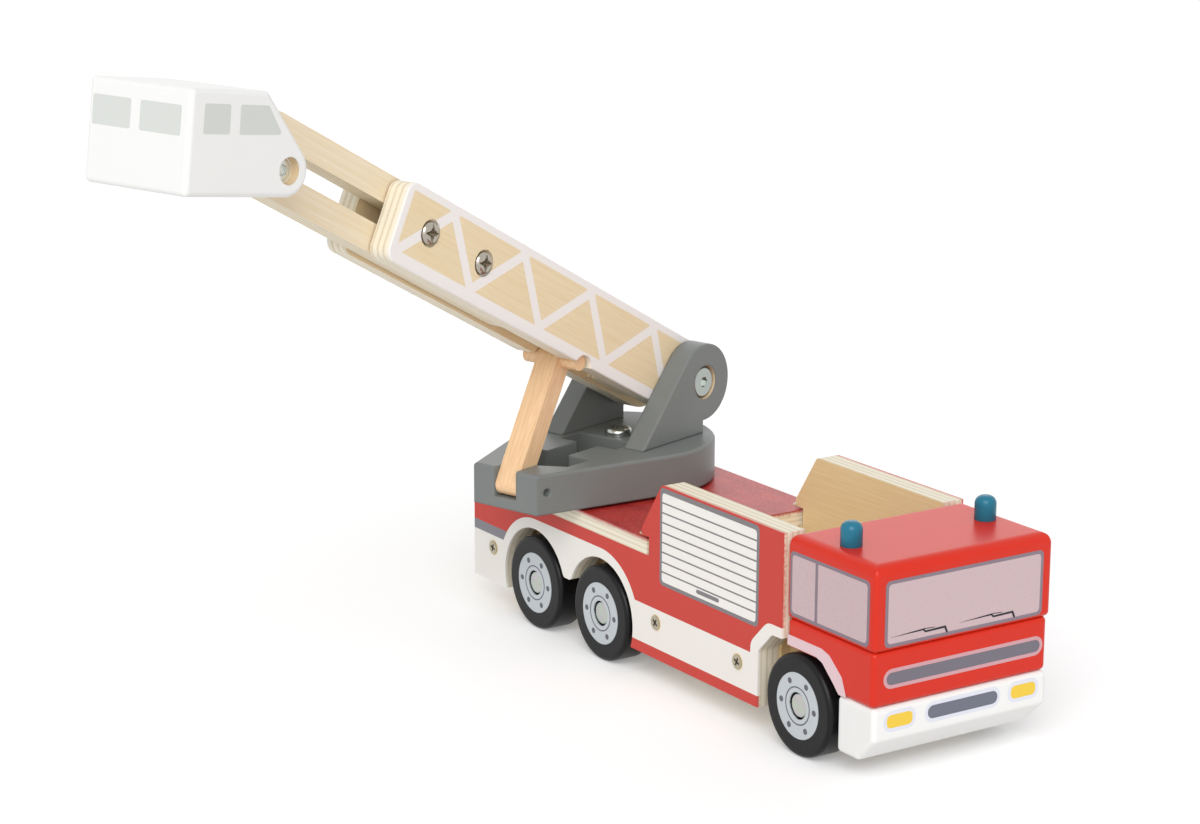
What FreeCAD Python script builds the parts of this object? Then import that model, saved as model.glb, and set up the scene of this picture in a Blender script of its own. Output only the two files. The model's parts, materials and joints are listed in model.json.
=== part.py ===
import FreeCAD, Part
import math
import os
import Sketcher

# Wooden toy fire engine with a slewing, lifting and extending ladder.
# Frame: +X towards the cab, +Y to the toy's left, +Z up, ground at z = 0,
# origin on the ground below the middle of the body.
# The turntable has a frame of its own: x along the ladder, y to its left, origin on the slew pin.
# The ladder has another: x along the rails, z square to them, origin on the ladder bolt.

# Driving sizes in millimetres and degrees.
SIZES = {
    # Body
    "body_length": 326.0,
    "body_width": 103.0,
    "ground_clearance": 14.0,
    "panel_thickness": 12.0,
    "panel_height": 86.3,
    "panel_round": 3.0,
    "seat_height": 49.5,
    "seat_length": 158.4,
    "notch_wall": 9.0,
    "notch_foot_rise": 3.5,
    "notch_foot_gap": 6.0,
    "notch_slant_run": 16.0,
    "panel_cab_gap": 1.2,
    "cutout_drop": 48.9,
    "cutout_length": 7.1,
    "cutout_slant_run": 10.1,
    "cutout_slant_drop": 10.4,
    "arch_radius": 28.06,
    "arch_web_height": 19.6,
    "arch_web_round": 2.5,
    "edge_round": 0.8,
    # Deck, beam and rear board
    "deck_thickness": 8.0,
    "deck_front_gap": 1.9,
    "beam_height": 34.7,
    "wheel_well_gap": 4.5,
    "board_thickness": 8.0,
    # Cab
    "cab_length": 62.2,
    "cab_upper_inset": 1.5,
    "cab_upper_bottom": 61.6,
    "cab_top": 100.4,
    "cab_round": 2.5,
    "cab_lower_inset": 2.2,
    "cab_lower_setback": 1.0,
    "bumper_length": 25.6,
    "bumper_bottom": 10.0,
    "bumper_top": 36.2,
    "bumper_chamfer": 11.3,
    "wheel_notch_flat": 25.2,
    "wheel_notch_angle": 43.6,
    "beacon_radius": 5.6,
    "beacon_rise": 12.0,
    "beacon_socket": 8.0,
    "beacon_from_front": 32.5,
    "beacon_from_side": 12.0,
    "beacon_round": 2.5,
    # Wheels and axles
    "wheel_radius": 23.7,
    "wheel_width": 16.0,
    "wheel_round": 2.2,
    "hub_radius": 15.3,
    "hub_recess": 0.6,
    "cap_radius": 5.6,
    "cap_thickness": 2.4,
    "cap_well_radius": 6.3,
    "cap_well_depth": 3.4,
    "axle_radius": 2.5,
    "front_axle_from_front": 50.9,
    "rear_axle_from_rear": 57.9,
    "axle_spacing": 59.2,
    # Fits and cuts
    "overcut": 1.0,
    "wheel_side_gap": 1.0,
    "running_fit": 0.05,
    "face_gap": 0.2,
    # Turntable
    "pivot_from_rear": 55.7,
    "slew_angle": -72.4,
    "washer_radius": 12.0,
    "washer_thickness": 1.3,
    "plate_thickness": 20.0,
    "plate_radius": 48.8,
    "plate_reach": 88.0,
    "plate_end_width": 40.0,
    "plate_round": 1.5,
    "recess_gap": 0.3,
    "finger_start": 48.0,
    "finger_length": 17.0,
    "finger_width": 41.0,
    "finger_ramp": 8.0,
    "dowel_bay_gap": 3.9,
    "dowel_end_gap": 1.2,
    "pivot_screw_radius": 4.0,
    "pivot_head_radius": 6.85,
    "pivot_head_height": 3.6,
    "pivot_head_round": 2.1,
    "pivot_nut_radius": 6.5,
    "pivot_nut_height": 5.0,
    # Ears and ladder bolt
    "ear_thickness": 11.8,
    "ear_gap": 0.6,
    "ear_head_radius": 19.7,
    "ear_foot_start": -29.3,
    "ear_foot_end": 20.5,
    "bolt_place": -30.2,
    "bolt_height": 46.2,
    "bolt_radius": 3.5,
    "bolt_head_radius": 7.5,
    "bolt_head_height": 2.4,
    "bolt_well_radius": 8.75,
    "bolt_well_depth": 3.4,
    "hex_width": 5.0,
    "hex_depth": 1.6,
    "cross_length": 6.6,
    "cross_width": 1.4,
    "cross_depth": 1.6,
    # Ladder
    "ladder_angle": 27.9,
    "rail_length": 240.4,
    "rail_height": 37.6,
    "rail_thickness": 11.6,
    "rail_corner": 6.0,
    "rail_gap": 15.5,
    "seat_notch_place": 82.4,
    "seat_notch_radius": 6.8,
    "seat_notch_depth": 4.75,
    "spacer_start": 16.0,
    "spacer_length": 28.0,
    "spacer_height": 34.0,
    "outer_bolt_place": 217.4,
    "inner_bolt_place": 176.1,
    "slide_line": 1.1,
    "slide_bolt_radius": 4.4,
    "slide_head_radius": 7.25,
    "slide_head_height": 2.6,
    "slide_head_round": 1.8,
    "slide_well_radius": 8.0,
    "slide_well_depth": 1.6,
    # Slider
    "slider_thickness": 13.6,
    "slider_height": 36.4,
    "slider_tail": 112.0,
    "slider_slot_width": 10.3,
    "slider_reach_out": 30.0,
    "slot_to_cabin": 24.4,
    # Strut
    "strut_pin_place": 82.5,
    "strut_pin_rise": 11.0,
    "strut_pin_radius": 2.0,
    "strut_pin_inset": 0.9,
    "strut_width": 13.0,
    "strut_thickness": 10.4,
    "dowel_radius": 4.0,
    "dowel_length": 33.0,
    # Cabin
    "cabin_place": 325.8,
    "cabin_drop": 9.3,
    "cabin_tilt": 7.8,
    "cabin_width": 61.0,
    "cabin_nose_radius": 11.3,
    "cabin_front": 59.5,
    "cabin_height": 44.5,
    "cabin_roof_start": 15.3,
    "cabin_round": 3.0,
    "cabin_edge_round": 2.4,
    "cabin_slot_depth": 14.0,
    "cabin_slot_gap": 0.4,
    "cabin_bolt_radius": 3.0,
    "cabin_head_radius": 5.2,
    "cabin_head_height": 2.4,
    "cabin_well_radius": 6.0,
    "cabin_well_depth": 7.0,
}

doc = FreeCAD.newDocument("toy_fire_engine")
sheet = doc.addObject("Spreadsheet::Sheet", "sizes")


class Size:
    """A length or an angle with the formula that ties it to the sheet."""

    def __init__(self, value, text=None):
        self.value = float(value)
        self.text = text if text else repr(float(value))

    def __add__(self, other):
        other = as_size(other)
        return Size(self.value + other.value, f"({self.text} + {other.text})")

    def __radd__(self, other):
        return as_size(other) + self

    def __sub__(self, other):
        other = as_size(other)
        return Size(self.value - other.value, f"({self.text} - {other.text})")

    def __rsub__(self, other):
        return as_size(other) - self

    def __mul__(self, other):
        other = as_size(other)
        return Size(self.value * other.value, f"({self.text} * {other.text})")

    def __rmul__(self, other):
        return as_size(other) * self

    def __truediv__(self, other):
        other = as_size(other)
        return Size(self.value / other.value, f"({self.text} / {other.text})")

    def __neg__(self):
        return Size(-self.value, f"(0 - {self.text})")


def as_size(number):
    return number if isinstance(number, Size) else Size(number)


def root(size):
    return Size(math.sqrt(size.value), f"sqrt({size.text})")


def sine(angle):
    return Size(math.sin(math.radians(angle.value)), f"sin({angle.text})")


def cosine(angle):
    return Size(math.cos(math.radians(angle.value)), f"cos({angle.text})")


def tangent(angle):
    return Size(math.tan(math.radians(angle.value)), f"tan({angle.text})")


# The sheet: one row for each driving size, its name beside its number
for row, (name, number) in enumerate(SIZES.items(), start=1):
    sheet.set(f"A{row}", name)
    sheet.set(f"B{row}", str(number))
    sheet.setAlias(f"B{row}", name)
doc.recompute()


def size(name):
    return Size(SIZES[name], f"sizes.{name}")


NOTHING = Size(0.0)
TOLERANCE = 0.01
pieces = []


def bind(thing, **properties):
    """Ties properties of an object to the sheet."""
    for name, value in properties.items():
        thing.setExpression(name, as_size(value).text)


def new_body(label, placement=None):
    body = doc.addObject("PartDesign::Body", label)
    body.Label = label
    if placement:
        body.Placement = placement
    pieces.append(body)
    return body


def new_sketch(body, plane, offset=NOTHING):
    """A sketch on one of the body's own planes, moved along its normal by the offset."""
    sketch = body.newObject("Sketcher::SketchObject", "sketch")
    support = [f for f in body.Origin.OriginFeatures if f.Role == plane + "_Plane"][0]
    sketch.AttachmentSupport = (support, [""])
    sketch.MapMode = "FlatFace"
    sketch.setExpression("AttachmentOffset.Base.z", as_size(offset).text)
    return sketch


def hold(sketch, kind, edge, corner, value):
    index = sketch.addConstraint(Sketcher.Constraint(kind, -1, 1, edge, corner, value.value))
    sketch.setExpression(f"Constraints[{index}]", value.text)


def pin(sketch, edge, corner, across, up):
    """Fixes a point of the sketch by its two distances from the origin."""
    hold(sketch, "DistanceX", edge, corner, as_size(across))
    hold(sketch, "DistanceY", edge, corner, as_size(up))


def flat(across, up):
    return FreeCAD.Vector(as_size(across).value, as_size(up).value, 0)


def draw_polygon(sketch, points):
    """A closed outline of straight lines."""
    first = len(sketch.Geometry)
    count = len(points)
    for index, start in enumerate(points):
        end = points[(index + 1) % count]
        sketch.addGeometry(Part.LineSegment(flat(*start), flat(*end)))
    for index, start in enumerate(points):
        following = first + (index + 1) % count
        sketch.addConstraint(Sketcher.Constraint("Coincident", first + index, 2, following, 1))
        pin(sketch, first + index, 1, *start)


def draw_circle(sketch, across, up, radius):
    radius = as_size(radius)
    circle = Part.Circle(flat(across, up), FreeCAD.Vector(0, 0, 1), radius.value)
    edge = sketch.addGeometry(circle)
    pin(sketch, edge, 3, across, up)
    index = sketch.addConstraint(Sketcher.Constraint("Radius", edge, radius.value))
    sketch.setExpression(f"Constraints[{index}]", radius.text)


def draw_slot(sketch, start, end, up, width):
    """A straight slot with round ends; start and end are the centres of its ends."""
    start, end, up = as_size(start), as_size(end), as_size(up)
    radius = width / 2
    top, bottom = up + radius, up - radius
    axis = FreeCAD.Vector(0, 0, 1)
    quarter = math.pi / 2
    left = Part.Circle(flat(start, up), axis, radius.value)
    right = Part.Circle(flat(end, up), axis, radius.value)
    sketch.addGeometry(Part.ArcOfCircle(left, quarter, 3 * quarter))
    sketch.addGeometry(Part.LineSegment(flat(start, bottom), flat(end, bottom)))
    sketch.addGeometry(Part.ArcOfCircle(right, -quarter, quarter))
    sketch.addGeometry(Part.LineSegment(flat(end, top), flat(start, top)))
    for edge in range(4):
        sketch.addConstraint(Sketcher.Constraint("Tangent", edge, 2, (edge + 1) % 4, 1))
    pin(sketch, 0, 3, start, up)
    pin(sketch, 2, 3, end, up)
    index = sketch.addConstraint(Sketcher.Constraint("Radius", 0, radius.value))
    sketch.setExpression(f"Constraints[{index}]", radius.text)


def pad(body, sketch, length, both_ways=False, flipped=False):
    feature = body.newObject("PartDesign::Pad", "pad")
    feature.Profile = sketch
    bind(feature, Length=length)
    feature.SideType = "Symmetric" if both_ways else "One side"
    feature.Reversed = flipped
    doc.recompute()
    return feature


def cut(body, sketch, depth=None, flipped=False, both_ways=False):
    """A pocket: right through both ways when no depth is given. It has to take material away."""
    before = body.Shape.Volume
    feature = body.newObject("PartDesign::Pocket", "pocket")
    feature.Profile = sketch
    if depth is None:
        feature.SideType = "Two sides"
        feature.Type = "ThroughAll"
        feature.Type2 = "ThroughAll"
    else:
        feature.Type = "Length"
        feature.SideType = "Symmetric" if both_ways else "One side"
        bind(feature, Length=depth)
        feature.Reversed = flipped
    doc.recompute()
    if body.Shape.Volume > before - TOLERANCE:
        raise RuntimeError(f"{body.Label}: {feature.Name} cuts nothing")
    return feature


def edges_where(body, test):
    """Names of the body's edges whose two ends pass the test."""
    names = []
    for number, edge in enumerate(body.Shape.Edges, start=1):
        ends = [body.Placement.inverse().multVec(v.Point) for v in edge.Vertexes]
        if test(ends, edge):
            names.append(f"Edge{number}")
    return names


def round_edges(body, radius, test):
    """Rounds the edges that pass the test."""
    names = edges_where(body, test)
    if not names:
        raise RuntimeError(f"{body.Label}: no edge to round")
    base = body.Tip
    feature = body.newObject("PartDesign::Fillet", "rounding")
    feature.Base = (base, names)
    bind(feature, Radius=radius)
    doc.recompute()
    if feature.Shape.isNull() or "Invalid" in feature.State:
        raise RuntimeError(f"{body.Label}: {feature.Name} fails on {names}")
    return feature


def near(number, value):
    return abs(number - as_size(value).value) < TOLERANCE


def upright_at(across, up, first="x", second="z"):
    """A test for the straight edge that runs through one corner of a profile."""
    def test(ends, edge):
        return len(ends) == 2 and all(near(getattr(p, first), across) and near(getattr(p, second), up)
                                      for p in ends)
    return test


def revolve(body, sketch, axis):
    feature = body.newObject("PartDesign::Revolution", "revolution")
    feature.Profile = sketch
    feature.ReferenceAxis = (sketch, [axis])
    feature.Angle = 360.0
    doc.recompute()
    return feature


# Places that several pieces share

half_length = size("body_length") / 2
half_width = size("body_width") / 2
body_bottom = size("ground_clearance")
panel_inner = half_width - size("panel_thickness")
panel_top = body_bottom + size("panel_height")
seat_top = body_bottom + size("seat_height")
deck_top = seat_top + size("deck_thickness")
seat_end = size("seat_length") - half_length
beam_top = body_bottom + size("beam_height")
axle_height = size("wheel_radius")
rear_axle = size("rear_axle_from_rear") - half_length
middle_axle = rear_axle + size("axle_spacing")
front_axle = half_length - size("front_axle_from_front")
axle_places = {"front": front_axle, "middle": middle_axle, "rear": rear_axle}
wheel_inner = half_width - size("wheel_width")
neck_half = wheel_inner - size("wheel_side_gap")
bore_radius = size("axle_radius") + size("running_fit")
cab_rear = half_length - size("cab_length")
cab_lower_width = (half_width - size("cab_lower_inset")) * 2
slope_ratio = tangent(size("wheel_notch_angle"))
notch_flat_end = cab_rear + size("wheel_notch_flat")
bumper_rear = half_length - size("bumper_length")
beacon_place = half_length - size("beacon_from_front")
beacon_side = half_width - size("cab_upper_inset") - size("beacon_from_side")
pivot_place = size("pivot_from_rear") - half_length
overcut = size("overcut")


def slope_height(place):
    """Height of the cab's wheel notch at a place on its slanted end."""
    return beam_top - (place - notch_flat_end) * slope_ratio


def panel_outline():
    """Side view of a side panel, without its wheel arches."""
    wall_top = seat_top + size("notch_wall")
    foot = seat_end - size("notch_foot_gap")
    foot_height = wall_top + size("notch_foot_rise")
    slant_top = foot + size("notch_slant_run")
    cutout_top = panel_top - size("cutout_drop")
    front_top = cab_rear - size("panel_cab_gap")
    slant_end = front_top - size("cutout_length")
    front_foot = slant_end - size("cutout_slant_run")
    return [
        (-half_length, body_bottom), (front_foot, body_bottom),
        (front_foot, cutout_top - size("cutout_slant_drop")), (slant_end, cutout_top),
        (front_top, cutout_top), (front_top, panel_top),
        (slant_top, panel_top), (foot, foot_height), (foot, wall_top),
        (seat_end, wall_top), (seat_end, seat_top), (-half_length, seat_top),
    ]


def make_side_panel(label, side):
    """Plywood side panel with a seat for the deck, two wheel arches and a cut-out for the cab."""
    body = new_body(label)
    offset = half_width if side < 0 else -panel_inner
    sketch = new_sketch(body, "XZ", offset)
    draw_polygon(sketch, panel_outline())
    pad(body, sketch, size("panel_thickness"), flipped=True)
    outline = panel_outline()
    for corner in (2, 3, 6):
        round_edges(body, size("panel_round"), upright_at(*outline[corner]))
    arches = new_sketch(body, "XZ")
    radius = size("arch_radius")
    for place in (rear_axle, middle_axle):
        draw_circle(arches, place, axle_height, radius)
    cut(body, arches)
    web = new_sketch(body, "XZ")
    quarter = size("axle_spacing") / 4
    middle = rear_axle + quarter * 2
    web_bottom = body_bottom + size("arch_web_height")
    draw_polygon(web, [(middle - quarter, body_bottom - overcut), (middle + quarter, body_bottom - overcut),
                       (middle + quarter, web_bottom), (middle - quarter, web_bottom)])
    cut(body, web)
    rise = web_bottom - axle_height
    half_web = quarter * 2 - root(radius * radius - rise * rise)
    for corner in (middle - half_web, middle + half_web):
        round_edges(body, size("arch_web_round"), upright_at(corner, web_bottom))
    return body


side_panels = {-1: make_side_panel("side_panel_right", -1), 1: make_side_panel("side_panel_left", 1)}


def make_beam():
    """Solid timber beam between the panels, necked where the wheels turn, drilled for the axles."""
    body = new_body("chassis_beam")
    start = size("board_thickness") - half_length
    sketch = new_sketch(body, "XZ")
    draw_polygon(sketch, [(start, body_bottom), (bumper_rear, body_bottom),
                          (bumper_rear, slope_height(bumper_rear)), (notch_flat_end, beam_top),
                          (start, beam_top)])
    pad(body, sketch, panel_inner * 2, both_ways=True)
    wells = new_sketch(body, "XY", body_bottom - overcut)
    well_reach = size("wheel_radius") + size("wheel_well_gap")
    spans = [(rear_axle - well_reach, middle_axle + well_reach), (front_axle - well_reach, half_length)]
    for low, high in spans:
        for side in (-1, 1):
            edge, neck = (panel_inner + overcut) * side, neck_half * side
            draw_polygon(wells, [(low, neck), (high, neck), (high, edge), (low, edge)])
    cut(body, wells, size("beam_height") + overcut * 2, flipped=True)
    bores = new_sketch(body, "XZ")
    for place in axle_places.values():
        draw_circle(bores, place, axle_height, bore_radius)
    cut(body, bores)
    return body


beam = make_beam()


def make_board(label, low, high):
    """A plain sawn board, given by its lowest and highest corners."""
    board = doc.addObject("Part::Box", label)
    board.Label = label
    bind(board, Length=high[0] - low[0], Width=high[1] - low[1], Height=high[2] - low[2])
    for axis, value in zip("xyz", low):
        board.setExpression(f"Placement.Base.{axis}", value.text)
    pieces.append(board)
    return board


make_board("rear_board", (-half_length, -panel_inner, body_bottom),
           (size("board_thickness") - half_length, panel_inner, seat_top))


def make_deck():
    """Plywood deck on the panels' seats, drilled for the slew pin."""
    body = new_body("deck_board")
    front = seat_end - size("deck_front_gap")
    sketch = new_sketch(body, "XY", seat_top)
    draw_polygon(sketch, [(-half_length, -half_width), (front, -half_width),
                          (front, half_width), (-half_length, half_width)])
    draw_circle(sketch, pivot_place, NOTHING, size("pivot_screw_radius") + size("running_fit"))
    pad(body, sketch, size("deck_thickness"))
    return body


make_deck()


def make_block(label, profile, width):
    """A cab block: its side view drawn on the middle plane and padded both ways, edges rounded."""
    body = new_body(label)
    sketch = new_sketch(body, "XZ")
    draw_polygon(sketch, profile)
    pad(body, sketch, width, both_ways=True)
    round_edges(body, size("cab_round"), lambda ends, edge: True)
    return body


def make_cab_upper():
    body = make_block("cab_upper_block", [
        (cab_rear, size("cab_upper_bottom")), (half_length, size("cab_upper_bottom")),
        (half_length, size("cab_top")), (cab_rear, size("cab_top"))],
        (half_width - size("cab_upper_inset")) * 2)
    sockets = new_sketch(body, "XY", size("cab_top"))
    for side in (-1, 1):
        draw_circle(sockets, beacon_place, beacon_side * side,
                    size("beacon_radius") + size("running_fit"))
    cut(body, sockets, size("beacon_socket"))
    return body


make_cab_upper()


def make_cab_middle():
    """Middle cab block, notched right across for the front wheels and the beam."""
    front = half_length - size("cab_lower_setback")
    body = make_block("cab_middle_block", [
        (cab_rear, size("bumper_top")), (front, size("bumper_top")),
        (front, size("cab_upper_bottom")), (cab_rear, size("cab_upper_bottom"))], cab_lower_width)
    low = size("bumper_top") - overcut
    notch = new_sketch(body, "XZ")
    draw_polygon(notch, [(cab_rear - overcut, low),
                         (notch_flat_end + (beam_top - low) / slope_ratio, low),
                         (notch_flat_end, beam_top), (cab_rear - overcut, beam_top)])
    cut(body, notch)
    return body


make_cab_middle()


def make_bumper():
    """Lowest cab block, its front underside planed off."""
    drop = size("bumper_chamfer")
    make_block("bumper", [
        (bumper_rear, size("bumper_bottom")), (half_length - drop, size("bumper_bottom")),
        (half_length, size("bumper_bottom") + drop), (half_length, size("bumper_top")),
        (bumper_rear, size("bumper_top"))], cab_lower_width)


make_bumper()


def make_beacon(label, side):
    """Turned dowel with a rounded top, glued into its socket in the roof."""
    body = new_body(label, FreeCAD.Placement(
        FreeCAD.Vector(beacon_place.value, side * beacon_side.value, 0),
        FreeCAD.Rotation()))
    sketch = new_sketch(body, "XY", size("cab_top") - size("beacon_socket"))
    draw_circle(sketch, NOTHING, NOTHING, size("beacon_radius"))
    pad(body, sketch, size("beacon_socket") + size("beacon_rise"))
    top = size("cab_top") + size("beacon_rise")
    round_edges(body, size("beacon_round"), lambda ends, edge: all(near(p.z, top) for p in ends))


make_beacon("beacon_right", -1)
make_beacon("beacon_left", 1)


def make_wheel(label, place, side):
    """Turned wooden wheel: tyre, shallow hub face, well for the axle cap and a through bore."""
    body = new_body(label, FreeCAD.Placement(
        FreeCAD.Vector(place.value, 0, axle_height.value),
        FreeCAD.Rotation(FreeCAD.Vector(0, 0, 1), 0 if side < 0 else 180)))
    inner, outer = wheel_inner, half_width
    hub_face = outer - size("hub_recess")
    well_floor = outer - size("cap_well_depth")
    sketch = new_sketch(body, "XY")
    draw_polygon(sketch, [
        (bore_radius, -inner), (size("wheel_radius"), -inner), (size("wheel_radius"), -outer),
        (size("hub_radius"), -outer), (size("hub_radius"), -hub_face),
        (size("cap_well_radius"), -hub_face), (size("cap_well_radius"), -well_floor),
        (bore_radius, -well_floor)])
    revolve(body, sketch, "V_Axis")
    rim = size("wheel_radius")
    round_edges(body, size("wheel_round"), lambda ends, edge: all(
        near(math.hypot(p.x, p.z), rim) for p in ends) and edge.Closed)
    return body


def make_axle(label, place):
    """Steel rod with a pressed cap on each end."""
    body = new_body(label, FreeCAD.Placement(
        FreeCAD.Vector(place.value, 0, axle_height.value), FreeCAD.Rotation()))
    cap_low = half_width - size("cap_well_depth") + size("face_gap")
    cap_high = cap_low + size("cap_thickness")
    sketch = new_sketch(body, "XY")
    draw_polygon(sketch, [
        (NOTHING, -cap_high), (size("cap_radius"), -cap_high), (size("cap_radius"), -cap_low),
        (size("axle_radius"), -cap_low), (size("axle_radius"), cap_low),
        (size("cap_radius"), cap_low), (size("cap_radius"), cap_high), (NOTHING, cap_high)])
    revolve(body, sketch, "V_Axis")
    cap_end = cap_high
    round_edges(body, size("edge_round"), lambda ends, edge: edge.Closed and all(
        near(abs(p.y), cap_end) for p in ends))
    return body


for name, place in axle_places.items():
    make_axle(f"axle_{name}", place)
    make_wheel(f"wheel_{name}_right", place, -1)
    make_wheel(f"wheel_{name}_left", place, 1)


# Turntable frame

turntable_frame = FreeCAD.Placement(
    FreeCAD.Vector(pivot_place.value, 0, 0),
    FreeCAD.Rotation(FreeCAD.Vector(0, 0, 1), size("slew_angle").value))
plate_bottom = deck_top + size("washer_thickness") + size("face_gap")
plate_top = plate_bottom + size("plate_thickness")
rail_inner = size("rail_gap") / 2
rail_outer = rail_inner + size("rail_thickness")
ear_inner = rail_outer + size("ear_gap")
ear_outer = ear_inner + size("ear_thickness")
bolt_z = plate_bottom + size("bolt_height")
strut_pin_z = plate_bottom + size("strut_pin_rise")
strut_half = size("strut_width") / 2

# The strut stands on its pin in the plate's nose and meets the rails' notches with its dowel
pitch = size("ladder_angle")
rail_half = size("rail_height") / 2
dowel_s = size("seat_notch_place")
dowel_h = size("seat_notch_depth") - rail_half - size("dowel_radius") - size("face_gap") / 2
dowel_x = size("bolt_place") + dowel_s * cosine(pitch) - dowel_h * sine(pitch)
dowel_z = bolt_z + dowel_s * sine(pitch) + dowel_h * cosine(pitch)
strut_run = size("strut_pin_place") - dowel_x
strut_rise = dowel_z - strut_pin_z
strut_length = root(strut_run * strut_run + strut_rise * strut_rise)
recess_depth = plate_top - strut_pin_z + size("strut_thickness") / 2 + size("recess_gap")


def draw_cross(sketch):
    """The recess for a cross-head screwdriver, about the sketch's origin."""
    arm, half = size("cross_length") / 2, size("cross_width") / 2
    draw_polygon(sketch, [
        (-half, -arm), (half, -arm), (half, -half), (arm, -half), (arm, half), (half, half),
        (half, arm), (-half, arm), (-half, half), (-arm, half), (-arm, -half), (-half, -half)])


def draw_hexagon(sketch):
    """The recess for a hexagon key, about the sketch's origin."""
    half = size("hex_width") / 2
    point = half / cosine(Size(30))
    side = point / 2
    draw_polygon(sketch, [(-half, -side), (NOTHING, -point), (half, -side),
                          (half, side), (NOTHING, point), (-half, side)])


def make_slew_pin():
    """Pan-head machine screw that the turntable turns on, with its washer and nut."""
    body = new_body("turntable_screw", turntable_frame)
    shank, head = size("pivot_screw_radius"), size("pivot_head_radius")
    head_low = plate_top + size("face_gap")
    head_high = head_low + size("pivot_head_height")
    nut, nut_low = size("pivot_nut_radius"), seat_top - size("pivot_nut_height")
    sketch = new_sketch(body, "XZ")
    draw_polygon(sketch, [
        (NOTHING, nut_low), (nut, nut_low), (nut, seat_top), (shank, seat_top),
        (shank, head_low), (head, head_low), (head, head_high), (NOTHING, head_high)])
    revolve(body, sketch, "V_Axis")
    round_edges(body, size("pivot_head_round"), lambda ends, edge: edge.Closed and all(
        near(p.z, head_high) for p in ends))
    recess = new_sketch(body, "XY", head_high)
    draw_cross(recess)
    cut(body, recess, size("cross_depth"))
    washer = new_body("turntable_washer", turntable_frame)
    ring = new_sketch(washer, "XY", deck_top)
    draw_circle(ring, NOTHING, NOTHING, size("washer_radius"))
    draw_circle(ring, NOTHING, NOTHING, shank + size("running_fit"))
    pad(washer, ring, size("washer_thickness"))


make_slew_pin()


def make_plate():
    """Turntable plate: a round end run out to a narrow nose, routed for the folded strut."""
    body = new_body("turntable_plate", turntable_frame)
    radius, reach = size("plate_radius"), size("plate_reach")
    nose = size("plate_end_width") / 2
    sketch = new_sketch(body, "XY", plate_bottom)
    span = math.hypot(reach.value, nose.value)
    touch = math.atan2(nose.value, reach.value) + math.acos(radius.value / span)
    corner = FreeCAD.Vector(radius.value * math.cos(touch), radius.value * math.sin(touch), 0)
    mirror = FreeCAD.Vector(corner.x, -corner.y, 0)
    sketch.addGeometry(Part.LineSegment(flat(reach, -nose), flat(reach, nose)))
    sketch.addGeometry(Part.LineSegment(flat(reach, nose), corner))
    circle = Part.Circle(FreeCAD.Vector(), FreeCAD.Vector(0, 0, 1), radius.value)
    sketch.addGeometry(Part.ArcOfCircle(circle, touch, 2 * math.pi - touch))
    sketch.addGeometry(Part.LineSegment(mirror, flat(reach, -nose)))
    sketch.addConstraint(Sketcher.Constraint("Coincident", 0, 2, 1, 1))
    sketch.addConstraint(Sketcher.Constraint("Coincident", 3, 2, 0, 1))
    sketch.addConstraint(Sketcher.Constraint("Tangent", 1, 2, 2, 1))
    sketch.addConstraint(Sketcher.Constraint("Tangent", 2, 2, 3, 1))
    pin(sketch, 0, 1, reach, -nose)
    pin(sketch, 0, 2, reach, nose)
    pin(sketch, 2, 3, NOTHING, NOTHING)
    index = sketch.addConstraint(Sketcher.Constraint("Radius", 2, radius.value))
    sketch.setExpression(f"Constraints[{index}]", radius.text)
    pad(body, sketch, size("plate_thickness"))
    round_edges(body, size("plate_round"), lambda ends, edge: all(near(p.z, plate_top) for p in ends))

    slot_half = strut_half + size("recess_gap")
    bay_half = size("dowel_length") / 2 + size("dowel_end_gap")
    bay_middle = size("strut_pin_place") - strut_length
    bay_reach = size("dowel_radius") + size("dowel_bay_gap")
    start, bay_end = bay_middle - bay_reach, bay_middle + bay_reach
    finger, finger_start = size("finger_width") / 2, size("finger_start")
    finger_end = finger_start + size("finger_length")
    ramp_end, past_nose = finger_end + size("finger_ramp"), reach + overcut
    recess = new_sketch(body, "XY", plate_top)
    draw_polygon(recess, [
        (start, -bay_half), (bay_end, -bay_half), (bay_end, -slot_half), (finger_start, -slot_half),
        (finger_start, -finger), (finger_end, -finger), (ramp_end, -slot_half), (past_nose, -slot_half),
        (past_nose, slot_half), (ramp_end, slot_half), (finger_end, finger), (finger_start, finger),
        (finger_start, slot_half), (bay_end, slot_half), (bay_end, bay_half), (start, bay_half)])
    cut(body, recess, recess_depth)
    holes = new_sketch(body, "XY", plate_top)
    draw_circle(holes, NOTHING, NOTHING, size("pivot_screw_radius") + size("running_fit"))
    cut(body, holes)
    pin_bore = new_sketch(body, "XZ")
    draw_circle(pin_bore, size("strut_pin_place"), strut_pin_z, size("strut_pin_radius"))
    cut(body, pin_bore)
    return body


make_plate()


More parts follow.
